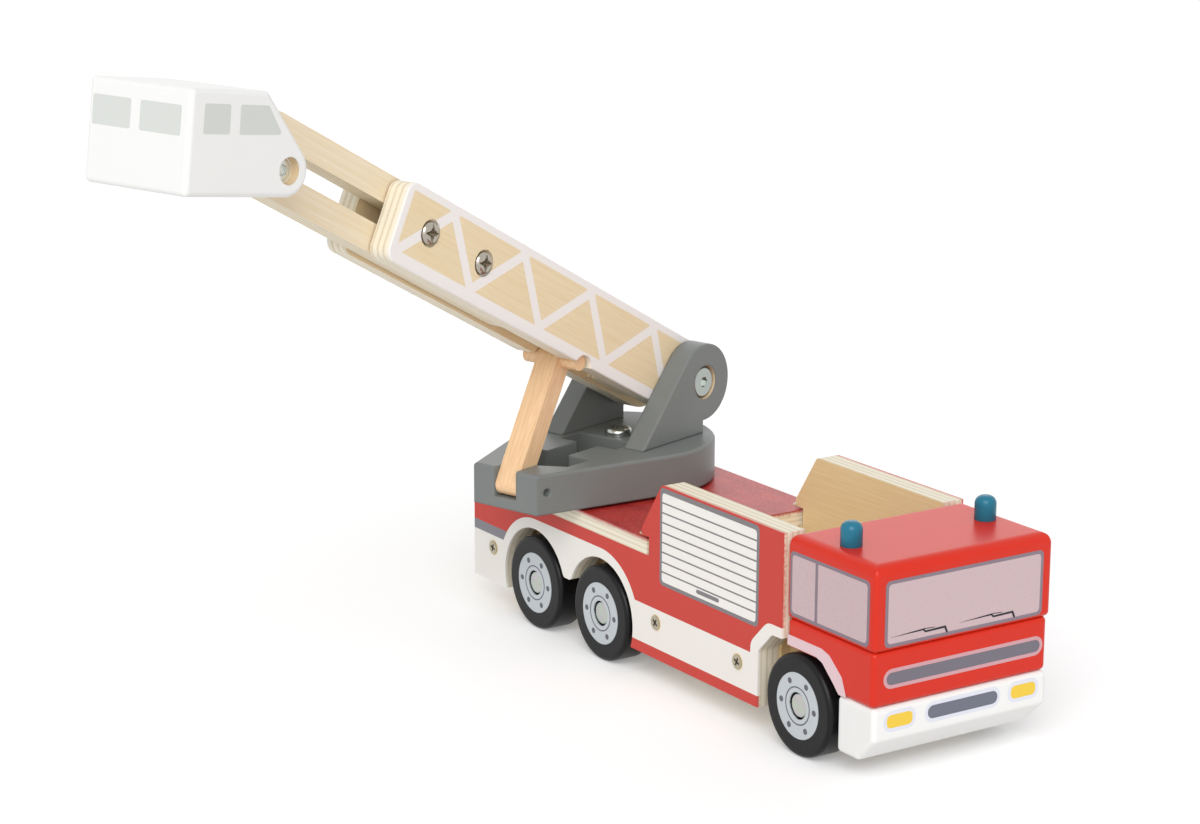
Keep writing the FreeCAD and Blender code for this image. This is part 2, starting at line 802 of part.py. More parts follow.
def make_ear(label, side):
    """Cheek of the turntable: a round head about the ladder bolt on a slanted foot."""
    body = new_body(label, turntable_frame)
    centre_x, centre_z = size("bolt_place"), bolt_z
    radius = size("ear_head_radius")
    foot_x = size("ear_foot_end")
    offset = -ear_inner if side > 0 else ear_outer
    sketch = new_sketch(body, "XZ", offset)
    reach = FreeCAD.Vector(foot_x.value - centre_x.value, plate_top.value - centre_z.value, 0)
    touch = math.atan2(reach.y, reach.x) + math.acos(radius.value / reach.Length)
    touch_point = FreeCAD.Vector(centre_x.value + radius.value * math.cos(touch),
                                 centre_z.value + radius.value * math.sin(touch), 0)
    front = size("ear_foot_start")
    end_angle = 2 * math.pi - math.acos((front.value - centre_x.value) / radius.value)
    chin = FreeCAD.Vector(front.value, centre_z.value + radius.value * math.sin(end_angle), 0)
    circle = Part.Circle(flat(centre_x, centre_z), FreeCAD.Vector(0, 0, 1), radius.value)
    sketch.addGeometry(Part.LineSegment(flat(foot_x, plate_top), touch_point))
    sketch.addGeometry(Part.ArcOfCircle(circle, touch, end_angle))
    sketch.addGeometry(Part.LineSegment(chin, flat(front, plate_top)))
    sketch.addGeometry(Part.LineSegment(flat(front, plate_top), flat(foot_x, plate_top)))
    sketch.addConstraint(Sketcher.Constraint("Tangent", 0, 2, 1, 1))
    for first, second in ((1, 2), (2, 3), (3, 0)):
        sketch.addConstraint(Sketcher.Constraint("Coincident", first, 2, second, 1))
    sketch.addConstraint(Sketcher.Constraint("Vertical", 2))
    pin(sketch, 3, 1, front, plate_top)
    pin(sketch, 3, 2, foot_x, plate_top)
    pin(sketch, 1, 3, centre_x, centre_z)
    index = sketch.addConstraint(Sketcher.Constraint("Radius", 1, radius.value))
    sketch.setExpression(f"Constraints[{index}]", radius.text)
    pad(body, sketch, size("ear_thickness"), flipped=True)
    outside = ear_outer * side
    round_edges(body, size("edge_round"), lambda ends, edge: all(near(p.y, outside) for p in ends))
    bore = new_sketch(body, "XZ")
    draw_circle(bore, centre_x, centre_z, size("bolt_radius") + size("running_fit"))
    cut(body, bore)
    well = new_sketch(body, "XZ", -ear_outer * side)
    draw_circle(well, centre_x, centre_z, size("bolt_well_radius"))
    cut(body, well, size("bolt_well_depth"), flipped=side > 0)
    return body


make_ear("ear_left", 1)
make_ear("ear_right", -1)


def make_headed_pin(label, placement, shank, head_radius, head_height, seat, rounding, recess, depth):
    """A pin with a head at each end, both seated as far from the middle and with the same recess."""
    body = new_body(label, placement)
    head_high = seat + head_height
    sketch = new_sketch(body, "XY")
    draw_polygon(sketch, [
        (NOTHING, -head_high), (head_radius, -head_high), (head_radius, -seat), (shank, -seat),
        (shank, seat), (head_radius, seat), (head_radius, head_high), (NOTHING, head_high)])
    revolve(body, sketch, "V_Axis")
    round_edges(body, rounding, lambda ends, edge: edge.Closed and all(
        near(abs(p.y), head_high) for p in ends))
    for side in (-1, 1):
        drive = new_sketch(body, "XZ", -head_high * side)
        recess(drive)
        cut(body, drive, depth, flipped=side > 0)
    return body


def in_turntable(x, z, angle=0.0):
    """Placement in the turntable frame, turned so that its x axis rises by the angle."""
    return turntable_frame.multiply(FreeCAD.Placement(
        FreeCAD.Vector(x, 0, z), FreeCAD.Rotation(FreeCAD.Vector(0, 1, 0), -angle)))


ladder_frame = in_turntable(size("bolt_place").value, bolt_z.value, pitch.value)

ear_seat = ear_outer - size("bolt_well_depth") + size("face_gap") / 2
make_headed_pin("ladder_bolt", ladder_frame, size("bolt_radius"), size("bolt_head_radius"),
                size("bolt_head_height"), ear_seat, size("edge_round"),
                draw_hexagon, size("hex_depth"))


# Ladder

slide_line = size("slide_line")
slide_bolts = {"outer": size("outer_bolt_place"), "inner": size("inner_bolt_place")}


def make_rail(label, side):
    """Ladder rail: round about the bolt at the root, notched below for the strut's dowel."""
    body = new_body(label, ladder_frame)
    offset = -rail_inner if side > 0 else rail_outer
    length = size("rail_length")
    sketch = new_sketch(body, "XZ", offset)
    quarter = math.pi / 2
    circle = Part.Circle(FreeCAD.Vector(), FreeCAD.Vector(0, 0, 1), rail_half.value)
    sketch.addGeometry(Part.LineSegment(flat(NOTHING, -rail_half), flat(length, -rail_half)))
    sketch.addGeometry(Part.LineSegment(flat(length, -rail_half), flat(length, rail_half)))
    sketch.addGeometry(Part.LineSegment(flat(length, rail_half), flat(NOTHING, rail_half)))
    sketch.addGeometry(Part.ArcOfCircle(circle, quarter, 3 * quarter))
    for edge in range(4):
        sketch.addConstraint(Sketcher.Constraint("Coincident", edge, 2, (edge + 1) % 4, 1))
    pin(sketch, 1, 1, length, -rail_half)
    pin(sketch, 1, 2, length, rail_half)
    pin(sketch, 3, 1, NOTHING, rail_half)
    pin(sketch, 3, 2, NOTHING, -rail_half)
    hold(sketch, "DistanceX", 3, 3, NOTHING)
    pad(body, sketch, size("rail_thickness"), flipped=True)
    for corner in (-rail_half, rail_half):
        round_edges(body, size("rail_corner"), upright_at(length, corner))
    outside = rail_outer * side
    round_edges(body, size("edge_round"), lambda ends, edge: all(near(p.y, outside) for p in ends))
    notch = new_sketch(body, "XZ")
    radius = size("seat_notch_radius")
    draw_circle(notch, size("seat_notch_place"), size("seat_notch_depth") - rail_half - radius, radius)
    cut(body, notch)
    bores = new_sketch(body, "XZ")
    draw_circle(bores, NOTHING, NOTHING, size("bolt_radius") + size("running_fit"))
    for place in slide_bolts.values():
        draw_circle(bores, place, slide_line, size("slide_bolt_radius") + size("running_fit"))
    cut(body, bores)
    wells = new_sketch(body, "XZ", -rail_outer * side)
    for place in slide_bolts.values():
        draw_circle(wells, place, slide_line, size("slide_well_radius"))
    cut(body, wells, size("slide_well_depth"), flipped=side > 0)
    return body


make_rail("ladder_rail_left", 1)
make_rail("ladder_rail_right", -1)


def make_spacer():
    """Block glued between the rails near their root."""
    spacer = doc.addObject("Part::Box", "ladder_spacer")
    spacer.Label = "ladder_spacer"
    bind(spacer, Length=size("spacer_length"), Width=size("rail_gap"), Height=size("spacer_height"))
    low = FreeCAD.Vector(size("spacer_start").value, -rail_inner.value,
                         -size("spacer_height").value / 2)
    spacer.Placement = ladder_frame.multiply(FreeCAD.Placement(low, FreeCAD.Rotation()))
    pieces.append(spacer)


make_spacer()

slide_seat = rail_outer - size("slide_well_depth") + size("face_gap") / 2
for name, place in slide_bolts.items():
    spot = ladder_frame.multiply(FreeCAD.Placement(
        FreeCAD.Vector(place.value, 0, slide_line.value), FreeCAD.Rotation()))
    make_headed_pin(f"slide_bolt_{name}", spot, size("slide_bolt_radius"), size("slide_head_radius"),
                    size("slide_head_height"), slide_seat, size("slide_head_round"),
                    draw_cross, size("cross_depth"))


def make_slider():
    """Extending section: one slotted plate with round ends that runs between the rails."""
    body = new_body("slider_plate", ladder_frame)
    height = size("slider_height")
    tail = size("slider_tail") + height / 2
    tip = size("cabin_place") - size("cabin_drop")
    sketch = new_sketch(body, "XZ")
    draw_slot(sketch, tail, tip, slide_line, height)
    pad(body, sketch, size("slider_thickness"), both_ways=True)
    slot = new_sketch(body, "XZ")
    draw_slot(slot, slide_bolts["inner"] - size("slider_reach_out"),
              size("cabin_place") - size("slot_to_cabin"), slide_line, size("slider_slot_width"))
    cut(body, slot)
    bore = new_sketch(body, "XZ")
    draw_circle(bore, size("cabin_place"), slide_line - size("cabin_drop"),
                size("cabin_bolt_radius"))
    cut(body, bore)
    return body


make_slider()

cabin_frame = ladder_frame.multiply(FreeCAD.Placement(
    FreeCAD.Vector(size("cabin_place").value, 0, slide_line.value - size("cabin_drop").value),
    FreeCAD.Rotation(FreeCAD.Vector(0, 1, 0), pitch.value - size("cabin_tilt").value)))


def make_cabin():
    """Rescue cabin: one block with a round heel about its bolt and a slot for the slider's tip."""
    body = new_body("cabin", cabin_frame)
    radius, front = size("cabin_nose_radius"), size("cabin_front")
    roof, roof_start = size("cabin_height") - radius, size("cabin_roof_start")
    half = size("cabin_width") / 2
    reach = math.hypot(roof_start.value, roof.value)
    touch = math.atan2(roof.value, roof_start.value) + math.acos(radius.value / reach)
    touch_point = FreeCAD.Vector(radius.value * math.cos(touch), radius.value * math.sin(touch), 0)
    circle = Part.Circle(FreeCAD.Vector(), FreeCAD.Vector(0, 0, 1), radius.value)
    sketch = new_sketch(body, "XZ")
    sketch.addGeometry(Part.LineSegment(flat(NOTHING, -radius), flat(front, -radius)))
    sketch.addGeometry(Part.LineSegment(flat(front, -radius), flat(front, roof)))
    sketch.addGeometry(Part.LineSegment(flat(front, roof), flat(roof_start, roof)))
    sketch.addGeometry(Part.LineSegment(flat(roof_start, roof), touch_point))
    sketch.addGeometry(Part.ArcOfCircle(circle, touch, 1.5 * math.pi))
    for edge in range(3):
        sketch.addConstraint(Sketcher.Constraint("Coincident", edge, 2, edge + 1, 1))
    sketch.addConstraint(Sketcher.Constraint("Tangent", 3, 2, 4, 1))
    sketch.addConstraint(Sketcher.Constraint("Coincident", 4, 2, 0, 1))
    pin(sketch, 4, 3, NOTHING, NOTHING)
    pin(sketch, 0, 1, NOTHING, -radius)
    pin(sketch, 0, 2, front, -radius)
    pin(sketch, 1, 2, front, roof)
    pin(sketch, 2, 2, roof_start, roof)
    pad(body, sketch, half * 2, both_ways=True)
    round_edges(body, size("cabin_round"), upright_at(roof_start, roof))
    round_edges(body, size("cabin_edge_round"), lambda ends, edge: edge.Length > overcut.value)
    slot_half = size("slider_thickness") / 2 + size("cabin_slot_gap")
    slot = new_sketch(body, "XZ")
    depth = size("cabin_slot_depth")
    back, over = -radius - overcut, roof + overcut
    draw_polygon(slot, [(back, back), (depth, back), (depth, over), (back, over)])
    cut(body, slot, slot_half * 2, both_ways=True)
    bore = new_sketch(body, "XZ")
    draw_circle(bore, NOTHING, NOTHING, size("cabin_bolt_radius") + size("running_fit"))
    cut(body, bore)
    for side in (-1, 1):
        well = new_sketch(body, "XZ", -half * side)
        draw_circle(well, NOTHING, NOTHING, size("cabin_well_radius"))
        cut(body, well, size("cabin_well_depth"), flipped=side > 0)
    return body


make_cabin()

cabin_seat = size("cabin_width") / 2 - size("cabin_well_depth") + size("face_gap")
make_headed_pin("cabin_bolt", cabin_frame, size("cabin_bolt_radius"), size("cabin_head_radius"),
                size("cabin_head_height"), cabin_seat, size("edge_round"), draw_hexagon, size("hex_depth"))


# Strut

strut_lean = math.degrees(math.atan2(strut_rise.value, -strut_run.value))
strut_frame = in_turntable(size("strut_pin_place").value, strut_pin_z.value, strut_lean)


def make_strut():
    """Square leg, round at both ends, with a bored foot and a cross dowel near its top."""
    body = new_body("strut_leg", strut_frame)
    sketch = new_sketch(body, "XZ")
    draw_slot(sketch, NOTHING, strut_length, NOTHING, size("strut_thickness"))
    pad(body, sketch, size("strut_width"), both_ways=True)
    bores = new_sketch(body, "XZ")
    draw_circle(bores, NOTHING, NOTHING, size("strut_pin_radius") + size("running_fit"))
    draw_circle(bores, strut_length, NOTHING, size("dowel_radius"))
    cut(body, bores)
    dowel = new_body("strut_dowel", strut_frame)
    end = new_sketch(dowel, "XZ")
    draw_circle(end, strut_length, NOTHING, size("dowel_radius"))
    pad(dowel, end, size("dowel_length"), both_ways=True)
    shaft = new_body("strut_pin", strut_frame)
    end = new_sketch(shaft, "XZ")
    draw_circle(end, NOTHING, NOTHING, size("strut_pin_radius"))
    pad(shaft, end, size("plate_end_width") - size("strut_pin_inset") * 2, both_ways=True)


make_strut()


# Every object has to be sound before anything is written

doc.recompute()
for thing in doc.Objects:
    if {"Invalid", "Error"} & set(thing.State):
        raise RuntimeError(f"{thing.Label} ({thing.Name}) failed: {thing.State}")
for piece in pieces:
    if piece.Shape.isNull() or not piece.Shape.isValid():
        raise RuntimeError(f"{piece.Label} has no sound shape")

os.makedirs("parts", exist_ok=True)
for piece in pieces:
    piece.Shape.exportStep(f"parts/{piece.Label}.step")
    print(piece.Label, len(piece.Shape.Solids), round(piece.Shape.Volume / 1000, 2), "cm3")
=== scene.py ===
import json
import math

import bpy
from mathutils import Matrix, Vector


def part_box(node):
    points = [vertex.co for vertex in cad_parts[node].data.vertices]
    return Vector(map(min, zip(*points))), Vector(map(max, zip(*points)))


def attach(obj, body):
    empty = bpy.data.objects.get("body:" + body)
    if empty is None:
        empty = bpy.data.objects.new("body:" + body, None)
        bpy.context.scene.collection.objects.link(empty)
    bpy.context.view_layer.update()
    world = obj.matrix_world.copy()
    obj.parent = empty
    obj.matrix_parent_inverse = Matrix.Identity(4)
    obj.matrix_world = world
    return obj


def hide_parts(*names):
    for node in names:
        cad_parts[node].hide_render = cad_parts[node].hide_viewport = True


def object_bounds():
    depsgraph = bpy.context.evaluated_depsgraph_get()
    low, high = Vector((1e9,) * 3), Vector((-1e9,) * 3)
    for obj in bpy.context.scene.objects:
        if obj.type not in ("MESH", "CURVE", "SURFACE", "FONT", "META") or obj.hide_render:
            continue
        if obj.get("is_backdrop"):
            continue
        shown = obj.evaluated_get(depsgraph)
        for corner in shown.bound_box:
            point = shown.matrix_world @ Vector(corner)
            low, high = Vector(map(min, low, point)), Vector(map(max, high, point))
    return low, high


# A wooden toy fire engine with a slewing ladder. Metres, in the part's own frame:
# +X towards the cab, +Y to the toy's left, +Z up, the ground at z = 0.

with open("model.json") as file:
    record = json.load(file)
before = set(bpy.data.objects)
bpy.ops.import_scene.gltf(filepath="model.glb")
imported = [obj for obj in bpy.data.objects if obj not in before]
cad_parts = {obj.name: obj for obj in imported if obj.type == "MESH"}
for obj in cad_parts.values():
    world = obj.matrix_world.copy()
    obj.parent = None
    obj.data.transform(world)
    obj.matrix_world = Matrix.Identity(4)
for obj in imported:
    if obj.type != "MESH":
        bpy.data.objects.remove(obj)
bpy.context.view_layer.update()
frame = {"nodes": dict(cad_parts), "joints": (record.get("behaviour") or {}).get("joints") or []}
nodes = frame["nodes"]
joints = {joint["name"]: joint for joint in frame["joints"]}
mm = 0.001


# Side panels
# Two boards of birch plywood, sawn and routed to shape. Their outer faces are screen-printed
# in red and white; the edges and the inner faces keep bare, clear-lacquered wood.

def linear(code):
    """The linear colour of an sRGB hex value."""
    parts = [int(code[place:place + 2], 16) / 255 for place in (1, 3, 5)]
    parts = [part / 12.92 if part <= 0.04045 else ((part + 0.055) / 1.055) ** 2.4 for part in parts]
    return (*parts, 1.0)


def add(tree, kind, inputs=(), **settings):
    """Adds a node with its settings; an input is linked where it is given a node or a socket."""
    made = tree.nodes.new(kind)
    for name, value in settings.items():
        setattr(made, name, value)
    for key, value in dict(inputs).items():
        if isinstance(value, bpy.types.Node):
            value = value.outputs[0]
        if isinstance(value, bpy.types.NodeSocket):
            tree.links.new(value, made.inputs[key])
        else:
            made.inputs[key].default_value = value
    return made


def new_material(name):
    material = bpy.data.materials.new(name)
    material.use_nodes = True
    material.node_tree.nodes.clear()
    return material, material.node_tree


def dress(material, *names):
    """Gives CAD nodes a finish."""
    for name in names:
        nodes[name].material_slots[0].material = material


def plywood(name, place, layer, face_colours, edge_colours, grain, side=0, out=0.0, bleed=0.0,
            paint=None, rough=0.5, shine=0.3):
    """Clear-lacquered plywood, satin: streaked faces, and edges banded by the crossed plies.
    The place's X axis runs along the face grain and its Y axis across the plies. Paint is a
    function that gets the tree, the piece's own place and the part that the brush or screen
    reached, and gives a mask and a colour. It reaches the face on that side of Y, which lies
    out from the middle, and fades unevenly over the edges."""
    material, tree = new_material(name)
    turn = place.to_euler()
    where = add(tree, "ShaderNodeTexCoord")
    own = add(tree, "ShaderNodeMapping", {
        0: where.outputs["Object"], 1: place.to_translation(), 2: turn}, vector_type="TEXTURE")
    normal = add(tree, "ShaderNodeMapping", {
        0: where.outputs["Normal"], 2: turn}, vector_type="TEXTURE")
    split = add(tree, "ShaderNodeSeparateXYZ", {0: own})
    across = add(tree, "ShaderNodeSeparateXYZ", {0: normal}).outputs["Y"]
    # Face grain: streaks about 40 mm long and 1 mm wide
    stretched = add(tree, "ShaderNodeMapping", {0: own, 3: grain}, vector_type="TEXTURE")
    streaks = add(tree, "ShaderNodeTexNoise", {
        "Vector": stretched, "Scale": 1.0, "Detail": 4.0, "Roughness": 0.6})
    face = add(tree, "ShaderNodeValToRGB", {0: streaks})
    face.color_ramp.elements[0].position, face.color_ramp.elements[1].position = 0.3, 0.72
    face.color_ramp.elements[0].color = linear(face_colours[1])
    face.color_ramp.elements[1].color = linear(face_colours[0])
    # Edge: pale plies with thin darker ones between them, a little uneven
    fold = add(tree, "ShaderNodeMath", {0: split.outputs["Y"], 1: layer}, operation="PINGPONG")
    band = add(tree, "ShaderNodeMapRange", {0: fold, 1: 0.55 * layer, 2: 0.75 * layer})
    uneven = add(tree, "ShaderNodeMath", {0: band, 1: streaks}, operation="MULTIPLY")
    edge = add(tree, "ShaderNodeMixRGB", {
        0: uneven, 1: linear(edge_colours[0]), 2: linear(edge_colours[1])})
    upright = add(tree, "ShaderNodeMath", {0: across}, operation="ABSOLUTE")
    is_face = add(tree, "ShaderNodeMath", {0: upright, 1: 0.8}, operation="GREATER_THAN")
    colour = add(tree, "ShaderNodeMixRGB", {0: is_face, 1: edge, 2: face})
    if paint:
        outward = add(tree, "ShaderNodeMath", {0: across, 1: float(side)}, operation="MULTIPLY")
        is_outer = add(tree, "ShaderNodeMath", {0: outward, 1: 0.55}, operation="GREATER_THAN")
        depth = add(tree, "ShaderNodeMath", {
            0: split.outputs["Y"], 1: -float(side), 2: out}, operation="MULTIPLY_ADD")
        ragged = add(tree, "ShaderNodeMapRange", {
            0: streaks, 1: 0.35, 2: 0.65, 3: 0.5 * bleed, 4: 1.5 * bleed})
        bled = add(tree, "ShaderNodeMapRange", {0: depth, 1: 0.15 * mm, 2: ragged, 3: 1.0, 4: 0.0})
        reached = add(tree, "ShaderNodeMath", {0: is_outer, 1: bled}, operation="MAXIMUM")
        mask, tone = paint(tree, split, reached)
        colour = add(tree, "ShaderNodeMixRGB", {0: mask, 1: colour, 2: tone})
    relief = add(tree, "ShaderNodeBump", {
        "Height": streaks, "Strength": 0.12, "Distance": 0.2 * mm})
    shader = add(tree, "ShaderNodeBsdfPrincipled", {
        "Base Color": colour, "Roughness": rough, "Specular IOR Level": shine, "Normal": relief})
    add(tree, "ShaderNodeOutputMaterial", {"Surface": shader})
    return material


both_sides = {"right": -1, "left": 1}
panel_out = -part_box("side_panel_right")[0].y
rear_place, _, arch_height = joints["wheel_rear_right_turn"]["pos_m"]
middle_place = joints["wheel_middle_right_turn"]["pos_m"][0]
band_top = 38.7 * mm
band_round = 33.2 * mm
cutout_band_start = 76.5 * mm
cutout_band_top = 56.3 * mm
cutout_band_slope = 32.6 * mm
cutout_band_soft = 3.5 * mm
diagonal = 2 ** -0.5
stripe_top = 19.4 * mm
grey_stripe_top = 43.8 * mm
panel_red, panel_white, panel_grey = "#c94037", "#eeeae4", "#85848a"
bare_face, bare_edge = ("#f2dcb2", "#e9cf9d"), ("#eee6d2", "#c9b893")
panel_grain = (40 * mm, 1.2 * mm, 1.2 * mm)
panel_ply, panel_bleed = 1.6 * mm, 1.9 * mm


def panel_print(tree, place, reached):
    """Red ground with a white band that follows the wheel arches and the cut-out for the cab."""
    x, z = place.outputs["X"], place.outputs["Z"]
    centre = (rear_place + middle_place) / 2
    half = (middle_place - rear_place) / 2
    away = add(tree, "ShaderNodeMath", {0: x, 1: centre}, operation="SUBTRACT")
    away = add(tree, "ShaderNodeMath", {0: away}, operation="ABSOLUTE")
    beyond = add(tree, "ShaderNodeMath", {0: away, 1: half}, operation="SUBTRACT")
    beyond = add(tree, "ShaderNodeMath", {0: beyond, 1: 0.0}, operation="MAXIMUM")
    above = add(tree, "ShaderNodeMath", {0: z, 1: arch_height}, operation="SUBTRACT")
    offset = add(tree, "ShaderNodeCombineXYZ", {0: beyond, 1: above})
    reach = add(tree, "ShaderNodeVectorMath", {0: offset}, operation="LENGTH").outputs["Value"]
    arch = add(tree, "ShaderNodeMath", {0: reach, 1: band_round}, operation="LESS_THAN")
    low = add(tree, "ShaderNodeMath", {0: z, 1: band_top}, operation="LESS_THAN")
    # Over the cut-out the band's outer edge runs up, aslant and level, with soft corners
    ahead = add(tree, "ShaderNodeMath", {0: x, 1: cutout_band_start}, operation="SUBTRACT")
    aslant = add(tree, "ShaderNodeMath", {0: x, 1: z}, operation="SUBTRACT")
    aslant = add(tree, "ShaderNodeMath", {0: aslant, 1: cutout_band_slope}, operation="SUBTRACT")
    aslant = add(tree, "ShaderNodeMath", {0: aslant, 1: diagonal}, operation="MULTIPLY")
    level = add(tree, "ShaderNodeMath", {0: cutout_band_top, 1: z}, operation="SUBTRACT")
    soft = add(tree, "ShaderNodeMath", {
        0: ahead, 1: aslant, 2: cutout_band_soft}, operation="SMOOTH_MIN")
    soft = add(tree, "ShaderNodeMath", {
        0: soft, 1: level, 2: cutout_band_soft}, operation="SMOOTH_MIN")
    cutout = add(tree, "ShaderNodeMath", {0: soft, 1: 0.0}, operation="GREATER_THAN")
    white = add(tree, "ShaderNodeMath", {0: arch, 1: low}, operation="MAXIMUM")
    white = add(tree, "ShaderNodeMath", {0: white, 1: cutout}, operation="MAXIMUM")
    # Two plain stripes: red below the band between the wheels, and grey behind the rear wheel
    stripes = []
    for top, end, side in ((stripe_top, middle_place, "GREATER_THAN"),
                           (grey_stripe_top, rear_place, "LESS_THAN")):
        below = add(tree, "ShaderNodeMath", {0: z, 1: top}, operation="LESS_THAN")
        beside = add(tree, "ShaderNodeMath", {0: x, 1: end}, operation=side)
        stripes.append(add(tree, "ShaderNodeMath", {0: below, 1: beside}, operation="MULTIPLY"))
    stripe, grey = stripes
    white = add(tree, "ShaderNodeMath", {0: white, 1: stripe}, operation="SUBTRACT", use_clamp=True)
    ground = add(tree, "ShaderNodeMixRGB", {0: grey, 1: linear(panel_red), 2: linear(panel_grey)})
    return reached, add(tree, "ShaderNodeMixRGB", {0: white, 1: ground, 2: linear(panel_white)})


for name, side in both_sides.items():
    dress(plywood(f"screen_printed_birch_plywood_{name}", Matrix(), panel_ply, bare_face, bare_edge,
                  panel_grain, side, panel_out, panel_bleed, panel_print), f"side_panel_{name}")


# Roller shutters
# Printed on the panels: a grey frame round a white field, with eight lines between the slats and
# a short handle near the bottom. Screen-print ink, laid on in three passes.

def rounded(corners, radius, steps=5):
    """A closed outline through the corners, each turned by an arc."""
    points = []
    for place, corner in enumerate(corners):
        corner = Vector(corner)
        back = (Vector(corners[place - 1]) - corner).normalized()
        ahead = (Vector(corners[(place + 1) % len(corners)]) - corner).normalized()
        half = back.angle(ahead) / 2
        start = corner + back * radius / math.tan(half)
        centre = corner + (back + ahead).normalized() * radius / math.sin(half)
        arm = start - centre
        sweep = math.pi - 2 * half
        turn = 1 if back.cross(ahead) < 0 else -1
        for step in range(steps + 1):
            angle = turn * sweep * step / steps
            points.append(centre + Matrix.Rotation(angle, 2) @ arm)
    return points


def facing(origin, along, up, side=-1):
    """The plane of a printed face: its X runs along (or against, on the left), its Z outwards."""
    across = -side * Vector(along)
    rows = [across, Vector(up), across.cross(Vector(up)), Vector(origin)]
    return Matrix([[*row, 0] for row in rows[:3]] + [[*rows[3], 1]]).transposed()


def side_face(out, side):
    """The plane of the truck's right or left face, that far out from its middle."""
    return facing((0, side * out, 0), (1, 0, 0), (0, 0, 1), side)


def solid_mesh(name, points, faces, material):
    mesh = bpy.data.meshes.new(name)
    mesh.from_pydata(points, [], faces)
    mesh.materials.append(material)
    return mesh


def show(name, data):
    """Puts a mesh, a lamp or a camera into the scene."""
    thing = bpy.data.objects.new(name, data)
    bpy.context.scene.collection.objects.link(thing)
    return thing


def keep(thing, body):
    """Hangs a piece of the scene on a body of the part."""
    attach(thing, body)


def sheet(name, outline, thickness, material, place, side, body, slot):
    """A film of ink: a flat outline in a printed face's own axes, with a hair's thickness."""
    points = [(-side * x, y) for x, y in outline]
    area = sum(a[0] * b[1] - b[0] * a[1] for a, b in zip(points, points[1:] + points[:1]))
    if area < 0:
        points.reverse()
    count = len(points)
    corners = [(x, y, height) for height in (0, thickness) for x, y in points]
    walls = [(k, (k + 1) % count, (k + 1) % count + count, k + count) for k in range(count)]
    faces = [range(count, 2 * count), range(count - 1, -1, -1), *walls]
    mesh = solid_mesh(name, corners, faces, material)
    mesh.transform(place)
    keep(show(name, mesh), body)


def ink(name, colour, speckle=None):
    """Screen-print ink on lacquered wood: an even colour whose satin gloss changes a little over
    dots about 0.4 mm wide, the print mesh's mark. A second colour shows as specks that size."""
    material, tree = new_material(name)
    where = add(tree, "ShaderNodeTexCoord")
    specks = add(tree, "ShaderNodeTexNoise", {
        "Vector": where.outputs["Object"], "Scale": 1 / (0.8 * mm), "Detail": 2.0})
    gloss = add(tree, "ShaderNodeMapRange", {0: specks, 1: 0.3, 2: 0.7, 3: 0.42, 4: 0.58})
    tone = linear(colour)
    if speckle:
        amount = add(tree, "ShaderNodeMapRange", {0: specks, 1: 0.45, 2: 0.85, 4: 0.5})
        tone = add(tree, "ShaderNodeMixRGB", {0: amount, 1: tone, 2: linear(speckle)})
    shader = add(tree, "ShaderNodeBsdfPrincipled", {
        "Base Color": tone, "Roughness": gloss, "Specular IOR Level": 0.25})
    add(tree, "ShaderNodeOutputMaterial", {"Surface": shader})
    return material


def grow(name, tree, inputs, place, body, mesh=None):
    """Runs a node tree on a mesh, or on one point, and keeps what it makes as a plain mesh, set
    in its place."""
    thing = show(name, mesh or point_mesh([(0, 0, 0)]))
    maker = thing.modifiers.new(tree.name, "NODES")
    maker.node_group = tree
    for socket in tree.interface.items_tree:
        if socket.in_out == "INPUT" and socket.name in inputs:
            maker[socket.identifier] = inputs[socket.name]
    evaluated = thing.evaluated_get(bpy.context.evaluated_depsgraph_get())
    made = bpy.data.meshes.new_from_object(evaluated)
    thing.modifiers.remove(maker)
    thing.data = made
    made.transform(place)
    keep(thing, body)
    return thing


def new_tree(name, sockets):
    """An empty geometry tree with named inputs: gives the tree and its inputs."""
    tree = bpy.data.node_groups.new(name, "GeometryNodeTree")
    tree.interface.new_socket("Geometry", in_out="INPUT", socket_type="NodeSocketGeometry")
    for title, kind in sockets.items():
        tree.interface.new_socket(title, in_out="INPUT", socket_type="NodeSocket" + kind)
    tree.interface.new_socket("Geometry", in_out="OUTPUT", socket_type="NodeSocketGeometry")
    return tree, add(tree, "NodeGroupInput").outputs


def point_mesh(points):
    mesh = bpy.data.meshes.new("points")
    mesh.from_pydata(points, [], [])
    return mesh


slat_tree, given = new_tree("shutter_slats", {
    "Lines": "Int", "Pitch": "Vector", "Line Size": "Vector", "Ink": "Material"})
row = add(slat_tree, "GeometryNodeMeshLine", {"Count": given["Lines"], "Offset": given["Pitch"]})
bar = add(slat_tree, "GeometryNodeMeshCube", {"Size": given["Line Size"]})
bars = add(slat_tree, "GeometryNodeInstanceOnPoints", {"Points": row, "Instance": bar})
solid = add(slat_tree, "GeometryNodeRealizeInstances", {0: bars})
inked = add(slat_tree, "GeometryNodeSetMaterial", {0: solid, "Material": given["Ink"]})
add(slat_tree, "NodeGroupOutput", {0: inked})

shutter_rear, shutter_front = 4.4 * mm, 82.1 * mm
shutter_bottom, shutter_top = 51.8 * mm, 99.3 * mm
shutter_round = 2.6 * mm
shutter_border, shutter_head = 1.9 * mm, 2.4 * mm
slat_lines = 8
slat_line = 0.75 * mm
film = 0.08 * mm
handle_length, handle_height, handle_rise = 17.8 * mm, 1.9 * mm, 2.7 * mm
handle_round = 0.49 * handle_height
frame_ink = ink("grey_screen_print_ink", "#827f82")
field_ink = ink("white_screen_print_ink", "#f1eeea")
line_ink = ink("grey_slat_line_ink", "#807c7f")


def box_outline(left, right, bottom, top, radius):
    return rounded([(left, bottom), (right, bottom), (right, top), (left, top)], radius)


